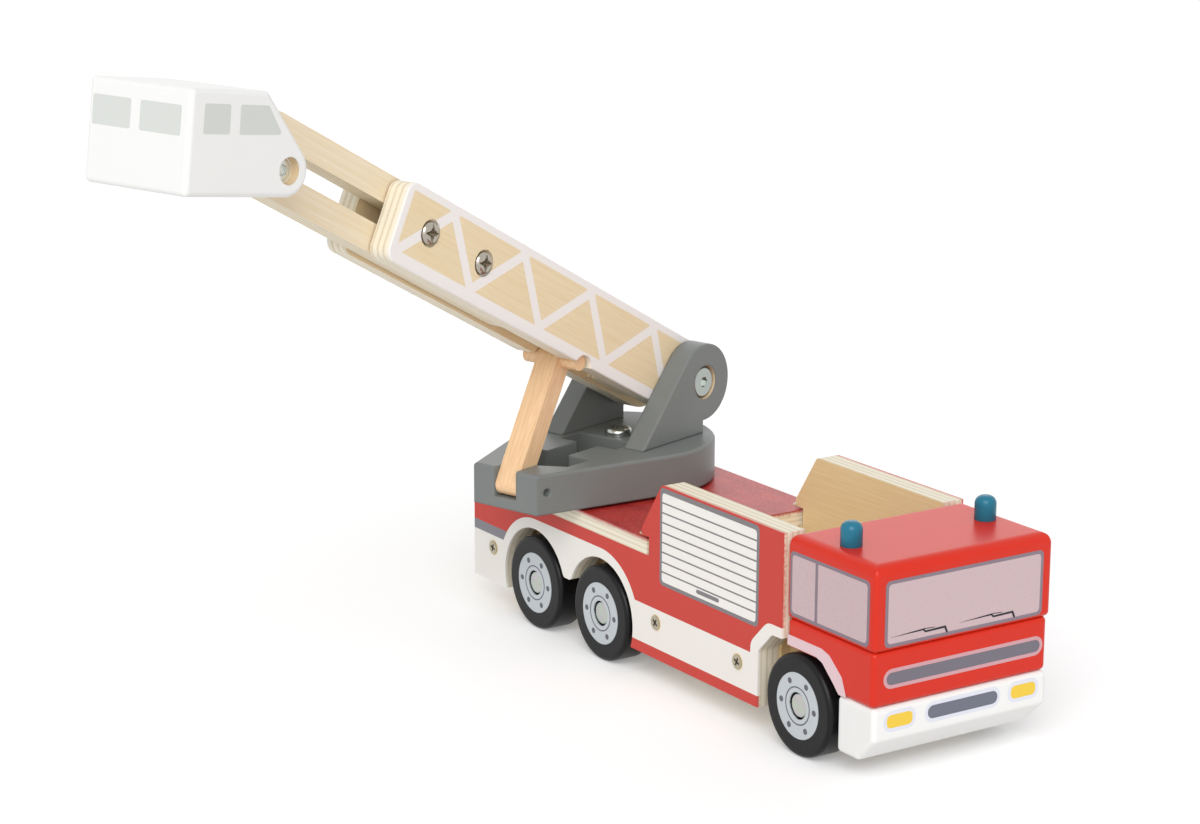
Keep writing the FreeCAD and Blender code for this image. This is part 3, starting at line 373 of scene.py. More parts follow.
for name, side in both_sides.items():
    face = side_face(panel_out, side)
    spot = (face, side, "truck", "red_lacquered_plywood")
    sheet(f"shutter_frame_{name}", box_outline(shutter_rear, shutter_front, shutter_bottom,
          shutter_top, shutter_round), film, frame_ink, *spot)
    left, right = shutter_rear + shutter_border, shutter_front - shutter_border
    bottom, top = shutter_bottom + shutter_border, shutter_top - shutter_head
    sheet(f"shutter_field_{name}", box_outline(left, right, bottom, top,
          shutter_round - shutter_border / 2), 2 * film, field_ink, *spot)
    pitch = (top - bottom) / (slat_lines + 1)
    middle = (left + right) / 2
    place = face @ Matrix.Translation((-side * middle, bottom + pitch, 2 * film))
    grow(f"shutter_slats_{name}", slat_tree,
         {"Lines": slat_lines, "Pitch": (0.0, pitch, 0.0),
          "Line Size": (right - left, slat_line, film), "Ink": line_ink}, place, "truck")
    sheet(f"shutter_handle_{name}", box_outline(middle - handle_length / 2,
          middle + handle_length / 2, bottom + handle_rise - handle_height / 2,
          bottom + handle_rise + handle_height / 2, handle_round), 4 * film, frame_ink, *spot)


# Wood screws
# Countersunk cross-head screws, zinc-plated steel, that hold the panels to the beam and the deck
# to the panels. Each sits in a countersink whose bare wood shows as a pale ring. A dark disc under
# each head is painted shade that shows through its cross recess.

screw_tree, given = new_tree("cross_head_screws", {
    "Head Radius": "Float", "Head Height": "Float", "Level Arm": "Vector", "Upright Arm": "Vector",
    "Arm Middle": "Vector", "Turn": "Float", "Steel": "Material"})
head = add(screw_tree, "GeometryNodeMeshCylinder", {
    "Vertices": 28, "Radius": given["Head Radius"], "Depth": given["Head Height"]})
drilled = head
for size in ("Level Arm", "Upright Arm"):
    arm = add(screw_tree, "GeometryNodeMeshCube", {"Size": given[size]})
    arm = add(screw_tree, "GeometryNodeTransform", {0: arm, "Translation": given["Arm Middle"]})
    drilled = add(screw_tree, "GeometryNodeMeshBoolean", {
        "Mesh 1": drilled, "Mesh 2": arm}, operation="DIFFERENCE")
turned = add(screw_tree, "FunctionNodeRandomValue", {"Max": given["Turn"], "Seed": 3})
turned.data_type = "FLOAT"
turned = [socket for socket in turned.outputs if socket.type == "VALUE"][0]
turned = add(screw_tree, "ShaderNodeCombineXYZ", {2: turned})
placed = add(screw_tree, "GeometryNodeInstanceOnPoints", {
    "Points": given["Geometry"], "Instance": drilled, "Rotation": turned})
solid = add(screw_tree, "GeometryNodeRealizeInstances", {0: placed})
steeled = add(screw_tree, "GeometryNodeSetMaterial", {0: solid, "Material": given["Steel"]})
add(screw_tree, "NodeGroupOutput", {0: steeled})


def plated_steel(name, colour, smooth, rough, tint=None):
    """Plated steel hardware: bright metal whose gloss and tint change over patches about 3 mm
    wide."""
    material, tree = new_material(name)
    where = add(tree, "ShaderNodeTexCoord")
    cloud = add(tree, "ShaderNodeTexNoise", {
        "Vector": where.outputs["Object"], "Scale": 1 / (3 * mm), "Detail": 2.0})
    rough = add(tree, "ShaderNodeMapRange", {0: cloud, 3: smooth, 4: rough})
    patch = add(tree, "ShaderNodeMapRange", {0: cloud, 1: 0.4, 2: 0.6})
    tone = add(tree, "ShaderNodeMixRGB", {0: patch, 1: linear(colour), 2: linear(tint or colour)})
    shader = add(tree, "ShaderNodeBsdfPrincipled", {
        "Base Color": tone, "Metallic": 1.0, "Roughness": rough})
    add(tree, "ShaderNodeOutputMaterial", {"Surface": shader})
    return material


steel = plated_steel("zinc_plated_steel", "#aab0ab", 0.22, 0.38)
dark_steel = plated_steel("nickel_plated_steel", "#b0a99e", 0.12, 0.24)
yellow_steel = plated_steel("yellow_zinc_plated_steel", "#b3ab97", 0.16, 0.3)
dress(steel, "turntable_washer", "ladder_bolt", "strut_pin")
dress(plated_steel("rainbow_zinc_plated_steel", "#b9c6b8", 0.25, 0.45, "#c3bfc2"), "axle_front",
      "axle_middle", "axle_rear")
dress(plated_steel("bright_nickel_plated_steel", "#c2c6c2", 0.22, 0.34), "turntable_screw")
dress(plated_steel("bright_zinc_plated_steel", "#dfe2de", 0.3, 0.45), "cabin_bolt")
bare_wood = ink("bare_sawn_birch_ring", "#e6d6b4", "#c9b58c")
# A dark disc under each screw head: painted shade where its cross recess lies
recess_painted_shade = ink("painted_shade_recess_floor", "#332d26")
ring_radius, recess_radius, head_height = 4.1 * mm, 2.3 * mm, 0.5 * mm
arm_length, arm_width, arm_depth = 4.0 * mm, 1.0 * mm, 1.4 * mm
screw_sizes = {"Head Radius": 3.4 * mm, "Head Height": head_height,
               "Level Arm": (arm_length, arm_width, arm_depth),
               "Upright Arm": (arm_width, arm_length, arm_depth),
               "Arm Middle": (0.0, 0.0, head_height / 2), "Turn": 1.4, "Steel": yellow_steel}
panel_screws = [(-144.4 * mm, 32.3 * mm), (1.6 * mm, 32.1 * mm), (67 * mm, 31.5 * mm)]
circle = [(math.cos(turn * math.tau / 32), math.sin(turn * math.tau / 32)) for turn in range(32)]


def screws(name, spots, place, side, body, slot):
    """A row of wood screws in a face's own axes, each with its pale ring and, under its head,
    a dark disc of painted shade that shows through its cross recess.
    """
    for number, (x, y) in enumerate(spots):
        for part, radius, height, tone in (("ring", ring_radius, film, bare_wood),
                                           ("recess", recess_radius, 2 * film, recess_painted_shade)):
            disc = [(x + radius * across, y + radius * up) for across, up in circle]
            sheet(f"{name}_{part}_{number}", disc, height, tone, place, side, body, slot)
    heads = point_mesh([(-side * x, y, film + head_height / 2) for x, y in spots])
    grow(name, screw_tree, screw_sizes, place, body, heads)


for name, side in both_sides.items():
    screws(f"panel_screws_{name}", panel_screws, side_face(panel_out, side), side, "truck",
           "birch_plywood")
deck_low, deck_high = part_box("deck_board")
deck_screw_inset, deck_screw_side = 7.5 * mm, 45.5 * mm
deck_screws = [(x, y) for x in (deck_low.x + deck_screw_inset, deck_high.x - deck_screw_inset)
               for y in (-deck_screw_side, deck_screw_side)]
screws("deck_screws", deck_screws, facing((0, 0, deck_high.z), (1, 0, 0), (0, 1, 0)), -1, "truck",
       "birch_plywood")


# Deck
# One plywood board across the panels' seats, painted red from above with a brush; the paint
# runs unevenly into the bare plies at its edges.

deck_axes = Matrix(((1, 0, 0, 0), (0, 0, -1, 0), (0, 1, 0, 0), (0, 0, 0, 1)))


def deck_paint(tree, place, reached):
    """Red paint brushed along the deck: a slow change from deep to bright red, and pale specks
    about 3 mm long and 0.8 mm wide where the wood's pores show through."""
    patterns = []
    for long, wide in ((30 * mm, 12 * mm), (3 * mm, 0.8 * mm)):
        along = add(tree, "ShaderNodeMath", {0: place.outputs["X"], 1: long}, operation="DIVIDE")
        across = add(tree, "ShaderNodeMath", {0: place.outputs["Z"], 1: wide}, operation="DIVIDE")
        spot = add(tree, "ShaderNodeCombineXYZ", {0: along, 1: across})
        patterns.append(add(tree, "ShaderNodeTexNoise", {
            "Vector": spot, "Scale": 1.0, "Detail": 2.0}))
    worn = add(tree, "ShaderNodeMapRange", {0: patterns[0], 1: 0.35, 2: 0.65})
    tone = add(tree, "ShaderNodeMixRGB", {0: worn, 1: linear("#a01818"), 2: linear("#b82a24")})
    speck = add(tree, "ShaderNodeMapRange", {0: patterns[1], 1: 0.52, 2: 0.72, 4: 0.4})
    tone = add(tree, "ShaderNodeMixRGB", {0: speck, 1: tone, 2: linear("#d98378")})
    return reached, tone


deck_ply, deck_bleed = 1.25 * mm, 2.2 * mm
dress(plywood("red_painted_birch_plywood", deck_axes, deck_ply, bare_face, bare_edge, panel_grain,
              1, deck_high.z, deck_bleed, deck_paint, rough=0.4, shine=0.6), "deck_board")


# Beam and rear board
# Planed pine under a clear lacquer, both set between the panels: the beam carries the axles, and
# the board closes the rear.

def planed(name, turn, colours, grain, rough):
    """Planed solid wood under clear lacquer, satin, with growth lines along its own X axis."""
    material, tree = new_material(name)
    where = add(tree, "ShaderNodeTexCoord")
    own = add(tree, "ShaderNodeMapping", {
        0: where.outputs["Object"], 2: turn, 3: grain}, vector_type="TEXTURE")
    streaks = add(tree, "ShaderNodeTexNoise", {
        "Vector": own, "Scale": 1.0, "Detail": 5.0, "Roughness": 0.62, "Distortion": 0.2})
    tone = add(tree, "ShaderNodeValToRGB", {0: streaks})
    tone.color_ramp.elements[0].position, tone.color_ramp.elements[1].position = 0.32, 0.7
    tone.color_ramp.elements[0].color = linear(colours[1])
    tone.color_ramp.elements[1].color = linear(colours[0])
    relief = add(tree, "ShaderNodeBump", {
        "Height": streaks, "Strength": 0.15, "Distance": 0.2 * mm})
    shader = add(tree, "ShaderNodeBsdfPrincipled", {
        "Base Color": tone, "Roughness": rough, "Normal": relief})
    add(tree, "ShaderNodeOutputMaterial", {"Surface": shader})
    return material


pine, pine_grain = ("#ecd6a8", "#d9b880"), (60 * mm, 2 * mm, 2 * mm)
dress(planed("planed_pine_beam_clear_lacquer", (0, 0, 0), pine, pine_grain, 0.5), "chassis_beam")
dress(planed("planed_pine_board_clear_lacquer", (0, 0, math.pi / 2), pine, pine_grain, 0.5),
      "rear_board")


# Cab blocks
# Two beech blocks, sanded and sprayed in red lacquer, and the white bumper block below them.
# Windows, grille and lamps are printed on.

def lacquer(name, colour, rough, shade, pore=5.0, ease=0.6 * mm, shine=0.3):
    """Sprayed lacquer on wood, satin: an even colour with a faint, soft clouding and the wood's
    pores just showing as a fine relief, drawn about 1 mm wide. It runs thin over the edges,
    which catch the light as if eased by the radius given."""
    material, tree = new_material(name)
    where = add(tree, "ShaderNodeTexCoord")
    cloud = add(tree, "ShaderNodeTexNoise", {
        "Vector": where.outputs["Object"], "Scale": 1 / (25 * mm), "Detail": 3.0})
    tone = add(tree, "ShaderNodeMixRGB", {0: cloud, 1: linear(colour), 2: linear(shade)})
    stretched = add(tree, "ShaderNodeMapping", {
        0: where.outputs["Object"], 3: (pore * mm, 1 * mm, 1 * mm)}, vector_type="TEXTURE")
    pores = add(tree, "ShaderNodeTexNoise", {"Vector": stretched, "Scale": 1.0, "Detail": 3.0})
    eased = add(tree, "ShaderNodeBevel", {"Radius": ease}, samples=6)
    relief = add(tree, "ShaderNodeBump", {
        "Height": pores, "Strength": 0.1, "Distance": 0.15 * mm, "Normal": eased})
    shader = add(tree, "ShaderNodeBsdfPrincipled", {
        "Base Color": tone, "Roughness": rough, "Specular IOR Level": shine, "Normal": relief})
    add(tree, "ShaderNodeOutputMaterial", {"Surface": shader})
    return material


def softened_block(name, low, high, corner, roof_round, foot_round, material, steps=8):
    """A block with round upright corners, softly rounded above and less so below."""
    least_corner = 0.4 * mm
    turns = [math.pi / 2 * step / steps for step in range(steps + 1)]
    rings = [(foot_round * (1 - math.sin(turn)), low.z + foot_round * (1 - math.cos(turn)))
             for turn in turns]
    rings += [(roof_round * (1 - math.cos(turn)), high.z - roof_round * (1 - math.sin(turn)))
              for turn in turns]
    points = []
    for inset, height in rings:
        outline = box_outline(low.x + inset, high.x - inset, low.y + inset, high.y - inset,
                              max(corner - inset, least_corner))
        points += [(x, y, height) for x, y in outline]
    count = len(points) // len(rings)
    faces = [range(count - 1, -1, -1), range(len(points) - count, len(points))]
    for ring in range(len(rings) - 1):
        for spot in range(count):
            ahead = (spot + 1) % count
            faces.append((ring * count + spot, ring * count + ahead, (ring + 1) * count + ahead,
                          (ring + 1) * count + spot))
    mesh = solid_mesh(name, points, faces, material)
    for face in mesh.polygons:
        face.use_smooth = max(abs(part) for part in face.normal) < 0.9999
    return show(name, mesh)


red = lacquer("red_sprayed_lacquer", "#d72a12", 0.33, "#d12b17")
dress(red, "cab_middle_block")
white = lacquer("white_sprayed_lacquer", "#f0f0ee", 0.42, "#eeeeec")
dress(white, "bumper")

upper_low, upper_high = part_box("cab_upper_block")
upper_corner, roof_round, upper_foot_round = 2.5 * mm, 5.2 * mm, 2.5 * mm
upper = softened_block("cab_upper_softened", upper_low, upper_high, upper_corner, roof_round,
                       upper_foot_round, red)
keep(upper, "truck")
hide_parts("cab_upper_block")
glass_ink = ink("pale_glass_print_ink", "#cab4b7", "#c4959a")
window_ink = ink("mauve_grey_frame_ink", "#887a84")
window_round = 2.6 * mm
window_border = 1.6 * mm
window = (103.2 * mm, 159.2 * mm, 63.6 * mm, 93.4 * mm)
bar_start, bar_width = 121.4 * mm, 1.8 * mm
windshield = (-44.5 * mm, 44.5 * mm, 63.4 * mm, 93.4 * mm)


def framed(name, outer, *spot):
    """A printed window: its frame and, on top, its glass. Gives the glass's bottom and top."""
    sheet(name + "_frame", box_outline(*outer, window_round), film, window_ink, *spot)
    rear, front, bottom, top = outer
    bottom, top = bottom + window_border, top - window_border
    glass = box_outline(rear + window_border, front - window_border, bottom, top,
                        window_round - window_border / 2)
    sheet(name + "_glass", glass, 2 * film, glass_ink, *spot)
    return bottom, top


def front_spot(block, slot):
    """Where a print goes on the front of a block: its plane, side, body and slot."""
    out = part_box(block)[1].x
    return facing((out, 0, 0), (0, 1, 0), (0, 0, 1)), -1, "truck", slot


for name, side in both_sides.items():
    spot = (side_face(upper_high.y, side), side, "truck", "red_lacquered_block")
    bottom, top = framed(f"side_window_{name}", window, *spot)
    bar = [(bar_start, bottom), (bar_start + bar_width, bottom), (bar_start + bar_width, top),
           (bar_start, top)]
    sheet(f"side_window_bar_{name}", bar, 3 * film, window_ink, *spot)
upper_front = front_spot("cab_upper_block", "red_lacquered_block")
framed("windshield", windshield, *upper_front)
wiper_ink = ink("black_wiper_ink", "#2a2a30")
# Each wiper in millimetres from the windshield frame's lower corner: a blade that tapers to its
# left tip, a short crank, the arm and its foot, and a thin strip beside the arm
wiper = [(3.2, 4.5), (21.0, 4.75), (22.2, 3.55), (33.0, 3.75), (34.0, 1.5), (35.1, 1.5),
         (33.7, 4.7), (22.6, 4.4), (21.3, 5.5), (14.0, 5.15)]
strip = [(21.2, 5.2), (27.4, 4.95), (27.4, 5.25), (21.2, 5.55)]
wiper_step = 38.4
for name, start in (("near", 0), ("far", wiper_step)):
    for part, corners in (("arm", wiper), ("strip", strip)):
        outline = [(windshield[0] + (start + x) * mm, windshield[2] + y * mm) for x, y in corners]
        sheet(f"wiper_{part}_{name}", outline, 3 * film, wiper_ink, *upper_front)

middle_front = front_spot("cab_middle_block", "red_lacquered_block")
grille_ink = ink("dark_grey_grille_ink", "#75717b")
outline_ink = ink("pale_pink_outline_ink", "#cf9fa5")
grille_width, grille_length, grille_border = 5.6 * mm, 87.0 * mm, 1.7 * mm
grille_shift, grille_height = 1.5 * mm, 48.7 * mm


def capsule(centre, height, length, width):
    """The outline of a bar with round ends; their arcs stop just short of each other."""
    return box_outline(centre - length / 2, centre + length / 2, height - width / 2,
                       height + width / 2, 0.499 * width)


sheet("grille_outline", capsule(grille_shift, grille_height, grille_length + 2 * grille_border,
      grille_width + 2 * grille_border), film, outline_ink, *middle_front)
sheet("grille", capsule(grille_shift, grille_height, grille_length, grille_width), 2 * film,
      grille_ink, *middle_front)

# The pale trim over the front wheels, printed along the middle block's wheel notch
trim_ink = ink("pale_pink_trim_ink", "#e4c7cc")
trim = [(101.2, 49.0), (122.0, 49.0), (126.4, 47.6), (134.6, 40.2), (138.4, 36.4), (143.8, 36.4),
        (140.3, 44.9), (131.2, 52.4), (125.7, 53.9), (101.2, 53.9)]
middle_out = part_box("cab_middle_block")[1].y
for name, side in both_sides.items():
    sheet(f"arch_trim_{name}", [(x * mm, z * mm) for x, z in trim], film, trim_ink,
          side_face(middle_out, side), side, "truck", "red_lacquered_block")

# The slit and the two lamps on the bumper: middle, length, width, corner and ink of each
bumper_front = front_spot("bumper", "white_lacquered_block")
halo_ink = ink("pale_blue_outline_ink", "#e0e2ec")
slit_ink = ink("slate_grey_ink", "#6f7280")
lamp_ink = ink("yellow_lamp_ink", "#f0cb48")
bumper_marks = [("bumper_slit", 0.6 * mm, 39.6 * mm, 6.0 * mm, 2.9 * mm, slit_ink),
                ("lamp_right", -34.9 * mm, 14.2 * mm, 6.0 * mm, 2.3 * mm, lamp_ink),
                ("lamp_left", 35.4 * mm, 14.2 * mm, 6.0 * mm, 2.3 * mm, lamp_ink)]
mark_height, halo = 29.6 * mm, 1.8 * mm
for name, centre, length, width, corner, tone in bumper_marks:
    for part, grow_by, height, tint in (("_outline", halo, film, halo_ink), ("", 0, 2 * film, tone)):
        edges = (centre - length / 2 - grow_by, centre + length / 2 + grow_by,
                 mark_height - width / 2 - grow_by, mark_height + width / 2 + grow_by)
        sheet(name + part, box_outline(*edges, corner + grow_by), height, tint, *bumper_front)


# Beacons
# Two turned dowels with domed tops, glossy teal lacquer, glued into the roof.

def lathe(name, profile, place, material, sides=48):
    """The mesh of a turned piece about its own Z axis; the profile's radii and heights run up from
    the bottom, and its ends lie on the axis."""
    ring = [(math.cos(turn * math.tau / sides), math.sin(turn * math.tau / sides))
            for turn in range(sides)]
    points = [(0, 0, profile[0][1])]
    points += [(radius * x, radius * y, height) for radius, height in profile[1:-1]
               for x, y in ring]
    points.append((0, 0, profile[-1][1]))
    rows, last = len(profile) - 2, len(points) - 1
    faces = []
    for spot in range(sides):
        ahead = (spot + 1) % sides
        faces.append((0, 1 + ahead, 1 + spot))
        for row in range(rows - 1):
            start = 1 + row * sides
            faces.append((start + spot, start + ahead, start + sides + ahead, start + sides + spot))
        start = 1 + (rows - 1) * sides
        faces.append((start + spot, start + ahead, last))
    mesh = solid_mesh(name, points, faces, material)
    mesh.transform(place)
    for face in mesh.polygons:
        face.use_smooth = True
    return mesh


def domed(radius, rise, dome, steps=8):
    """The upper part of a turned profile: a straight wall and a rounded shoulder."""
    turns = [math.pi / 2 * step / steps for step in range(steps + 1)]
    return [(radius - dome * (1 - math.cos(turn)), rise - dome * (1 - math.sin(turn)))
            for turn in turns]


beacon_radius, beacon_rise, beacon_dome, beacon_socket = 4.95 * mm, 11.2 * mm, 3.8 * mm, 8 * mm
teal = lacquer("teal_gloss_lacquer", "#1f7791", 0.25, "#1b6f88")
for name in ("beacon_right", "beacon_left"):
    low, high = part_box(name)
    middle = (low + high) / 2
    profile = [(0, -beacon_socket), (beacon_radius, -beacon_socket),
               *domed(beacon_radius, beacon_rise, beacon_dome), (0, beacon_rise)]
    foot = Matrix.Translation((middle.x, middle.y, upper_high.z))
    beacon = show(name + "_domed", lathe(name + "_domed", profile, foot, teal))
    keep(beacon, "truck")
    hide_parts(name)


# Wheels
# Turned wooden discs in black satin lacquer, each with a grey hub printed on its outer face:
# a ring line and six nut dots round the steel axle cap.

hub_tree, given = new_tree("hub_print", {
    "Ground Radius": "Float", "Ground Width": "Float", "Ring Radius": "Float",
    "Ring Width": "Float", "Dots": "Int", "Dot Circle": "Float", "Dot Radius": "Float",
    "Ground Height": "Float", "Mark Height": "Float", "Ground": "Material", "Ink": "Material"})


def ribbon(tree, radius, width, thickness):
    """A flat ring: a circle swept with a thin bar."""
    path = add(tree, "GeometryNodeCurvePrimitiveCircle", {"Resolution": 72, "Radius": radius})
    path = add(tree, "GeometryNodeSetCurveNormal", {0: path}, mode="Z_UP")
    bar = add(tree, "GeometryNodeCurvePrimitiveQuadrilateral", {
        "Width": width, "Height": thickness})
    swept = add(tree, "GeometryNodeCurveToMesh", {0: path, 1: bar})
    return add(tree, "GeometryNodeSetShadeSmooth", {0: swept, "Shade Smooth": False})


ground = ribbon(hub_tree, given["Ground Radius"], given["Ground Width"], given["Ground Height"])
ground = add(hub_tree, "GeometryNodeSetMaterial", {0: ground, "Material": given["Ground"]})
line = ribbon(hub_tree, given["Ring Radius"], given["Ring Width"], given["Mark Height"])
spots = add(hub_tree, "GeometryNodeMeshCircle", {
    "Vertices": given["Dots"], "Radius": given["Dot Circle"]})
dot = add(hub_tree, "GeometryNodeMeshCylinder", {
    "Vertices": 24, "Radius": given["Dot Radius"], "Depth": given["Mark Height"]})
dots = add(hub_tree, "GeometryNodeInstanceOnPoints", {"Points": spots, "Instance": dot})
marks = add(hub_tree, "GeometryNodeJoinGeometry", {0: dots})
hub_tree.links.new(line.outputs[0], marks.inputs[0])
marks = add(hub_tree, "GeometryNodeRealizeInstances", {0: marks})
marks = add(hub_tree, "GeometryNodeSetMaterial", {0: marks, "Material": given["Ink"]})
whole = add(hub_tree, "GeometryNodeJoinGeometry", {0: ground})
hub_tree.links.new(marks.outputs[0], whole.inputs[0])
add(hub_tree, "NodeGroupOutput", {0: whole})

hub_ground_ink = ink("pale_blue_grey_hub_ink", "#c4cace")
hub_mark_ink = ink("slate_hub_mark_ink", "#64646f")
hub_radius, hole_radius = 15.3 * mm, 6.3 * mm
hub_sizes = {"Ground Radius": (hub_radius + hole_radius) / 2,
             "Ground Width": hub_radius - hole_radius, "Ring Radius": 8.6 * mm,
             "Ring Width": 0.6 * mm, "Dots": 6, "Dot Circle": 11.9 * mm, "Dot Radius": 1.4 * mm,
             "Ground Height": 1.0 * mm, "Mark Height": 1.16 * mm, "Ground": hub_ground_ink,
             "Ink": hub_mark_ink}
hub_recess = 0.6 * mm
black = lacquer("black_satin_lacquer", "#101012", 0.33, "#141416", shine=0.22)
for axle in ("front", "middle", "rear"):
    for name, side in both_sides.items():
        wheel = f"wheel_{axle}_{name}"
        dress(black, wheel)
        x, _, z = joints[wheel + "_turn"]["pos_m"]
        place = facing((x, side * (panel_out - hub_recess), z), (1, 0, 0), (0, 0, 1), side)
        grow(f"hub_print_{axle}_{name}", hub_tree, hub_sizes, place, wheel)


# Turntable
# A routed wooden plate and two ears in grey satin lacquer, their edges softened by sanding. The
# wells of the ladder bolt are bored after the lacquer, so their walls show bare wood.

dress(lacquer("grey_satin_lacquer", "#7b7e7c", 0.4, "#747876", pore=9.0, ease=1.4 * mm),
      "turntable_plate", "ear_left", "ear_right")

well_tree, given = new_tree("well_wall", {
    "Radius": "Float", "Wall": "Float", "Height": "Float", "Finish": "Material"})
wall = ribbon(well_tree, given["Radius"], given["Wall"], given["Height"])
wall = add(well_tree, "GeometryNodeSetMaterial", {0: wall, "Material": given["Finish"]})
add(well_tree, "NodeGroupOutput", {0: wall})
well_wood = ink("bare_bored_wood", "#dcc6a3", "#cbb08a")
well_wall = 0.12 * mm
hinge = joints["ladder_raise"]
left = -Vector(hinge["axis"])
ear_out, ear_rim = 31.75 * mm, 0.3 * mm
ear_well_radius, ear_well_depth = 8.75 * mm, 3.0 * mm
for name, side in (("left", 1), ("right", -1)):
    middle = Vector(hinge["pos_m"]) + left * side * (ear_out - ear_rim - ear_well_depth / 2)
    face = facing(middle, Vector((0, 0, 1)).cross(left), (0, 0, 1), side)
    grow(f"ear_well_wall_{name}", well_tree,
         {"Radius": ear_well_radius - well_wall, "Wall": well_wall, "Height": ear_well_depth,
          "Finish": well_wood}, face, "turntable")


# Ladder
# Two rails of clear-lacquered birch plywood, a white lattice printed on their outer faces; the
# spacer between them and the slider are the same plywood.

along = Vector(joints["ladder_slide"]["axis"])
above = along.cross(left)
ladder_axes = Matrix([[*along, 0], [*left, 0], [*above, 0],
                      [*Vector(hinge["pos_m"]), 1]]).transposed()
rail_end, rail_out = 240.4 * mm, 19.35 * mm
border_above, border_below, end_border = 15.2 * mm, -13.1 * mm, 4.2 * mm
diagonal_pitch, diagonal_width = 55.8 * mm, 4.9 * mm
# Each family of diagonals: how far it leans for its rise, and where one crosses the middle line
diagonals = [(1.085, 221.4 * mm), (-0.937, 192.1 * mm)]
print_white = "#f2edea"


def lattice(tree, place, reached):
    """The white border and the two families of diagonals, as a mask on the rail's outer face."""
    s, h = place.outputs["X"], place.outputs["Z"]
    mask = add(tree, "ShaderNodeMath", {0: h, 1: border_above}, operation="GREATER_THAN")
    for across, border, side in ((h, border_below, "LESS_THAN"),
                                 (s, rail_end - end_border, "GREATER_THAN")):
        edge = add(tree, "ShaderNodeMath", {0: across, 1: border}, operation=side)
        mask = add(tree, "ShaderNodeMath", {0: mask, 1: edge}, operation="MAXIMUM")
    for lean, start in diagonals:
        shift = add(tree, "ShaderNodeMath", {0: h, 1: lean}, operation="MULTIPLY")
        run = add(tree, "ShaderNodeMath", {0: s, 1: shift}, operation="ADD")
        run = add(tree, "ShaderNodeMath", {0: run, 1: start}, operation="SUBTRACT")
        away = add(tree, "ShaderNodeMath", {0: run, 1: diagonal_pitch / 2}, operation="PINGPONG")
        half = diagonal_width / 2 * math.hypot(1, lean)
        line = add(tree, "ShaderNodeMath", {0: away, 1: half}, operation="LESS_THAN")
        mask = add(tree, "ShaderNodeMath", {0: mask, 1: line}, operation="MAXIMUM")
    mask = add(tree, "ShaderNodeMath", {0: mask, 1: reached}, operation="MULTIPLY")
    return mask, linear(print_white)


rail_face = ("#efddba", "#e8d1a9")
rail_ply, rail_bleed = 1.75 * mm, 1.7 * mm
for name, side in (("left", 1), ("right", -1)):
    dress(plywood(f"lattice_printed_birch_plywood_{name}", ladder_axes, rail_ply, rail_face,
                  bare_edge, panel_grain, side, rail_out, rail_bleed, lattice),
          f"ladder_rail_{name}")
slider_ply = 1.6 * mm
dress(plywood("birch_plywood_clear_lacquer", ladder_axes, slider_ply, ("#f2e3c9", "#ebd7b4"),
              ("#eee3c9", "#ab9570"), panel_grain), "ladder_spacer", "slider_plate")

# Slide bolts: nickel-plated steel, with domed heads on both outer faces and a cross recess. Each
# head sits in a well that is just wider than it, lined by a collar of the rail's own wood.
cross_tree, given = new_tree("cross_recess", {
    "Reach": "Float", "Middle": "Vector", "Flatness": "Vector", "Steel": "Material"})
drilled = given["Geometry"]
blade_turn = 0.3
for end in (0.0, math.pi):
    for turn in (blade_turn, blade_turn + math.pi / 2):
        # A four-sided spike, pressed flat: two of them crossed leave the star of a cross recess
        blade = add(cross_tree, "GeometryNodeMeshCone", {
            "Vertices": 4, "Radius Top": given["Reach"], "Radius Bottom": 0.0,
            "Depth": given["Reach"]})
        blade = add(cross_tree, "GeometryNodeTransform", {
            0: blade, "Translation": given["Middle"], "Scale": given["Flatness"]})
        blade = add(cross_tree, "GeometryNodeTransform", {0: blade, "Rotation": (end, 0.0, turn)})
        drilled = add(cross_tree, "GeometryNodeMeshBoolean", {
            "Mesh 1": drilled, "Mesh 2": blade}, operation="DIFFERENCE")
steeled = add(cross_tree, "GeometryNodeSetMaterial", {0: drilled, "Material": given["Steel"]})
add(cross_tree, "NodeGroupOutput", {0: steeled})

slide_bolt_radius, slide_head_radius, slide_head_dome = 4.4 * mm, 5.65 * mm, 2.6 * mm
slide_head_rise, slide_seat, slide_line = 2.9 * mm, 17.8 * mm, 1.1 * mm
blade_reach, blade_clear = 5.3 * mm, 0.5 * mm
blade_middle = slide_seat + slide_head_rise - blade_reach + blade_clear
slide_sizes = {"Reach": blade_reach, "Middle": (0.0, 0.0, blade_middle),
               "Flatness": (1.0, 0.36, 1.0), "Steel": dark_steel}
collar_inner, collar_outer, collar_depth, collar_rim = 6.45 * mm, 8.05 * mm, 1.5 * mm, 0.01 * mm
collar_sizes = {"Radius": (collar_inner + collar_outer) / 2, "Wall": collar_outer - collar_inner,
                "Height": collar_depth}
for name, place in (("outer", 217.4 * mm), ("inner", 176.1 * mm)):
    half = [(slide_bolt_radius, slide_seat), (slide_head_radius, slide_seat)]
    half += [(radius, slide_seat + rise)
             for radius, rise in domed(slide_head_radius, slide_head_rise, slide_head_dome)]
    top = slide_seat + slide_head_rise
    profile = [(0, -top), *[(radius, -height) for radius, height in reversed(half)], *half, (0, top)]
    blank = lathe(f"slide_bolt_{name}_blank", profile, Matrix(), dark_steel)
    hub = (ladder_axes @ Matrix.Translation((place, 0, slide_line))
           @ Matrix.Rotation(-math.pi / 2, 4, "X"))
    bolt = grow(f"slide_bolt_{name}_domed", cross_tree, slide_sizes, hub, "ladder",
                blank)
    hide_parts(f"slide_bolt_{name}")
    for rail, side in (("left", 1), ("right", -1)):
        seat = hub @ Matrix.Translation((0, 0, side * (rail_out - collar_depth / 2 - collar_rim)))
        collar_sizes["Finish"] = nodes[f"ladder_rail_{rail}"].material_slots[0].material
        grow(f"slide_well_collar_{name}_{rail}", well_tree, collar_sizes, seat, "ladder")


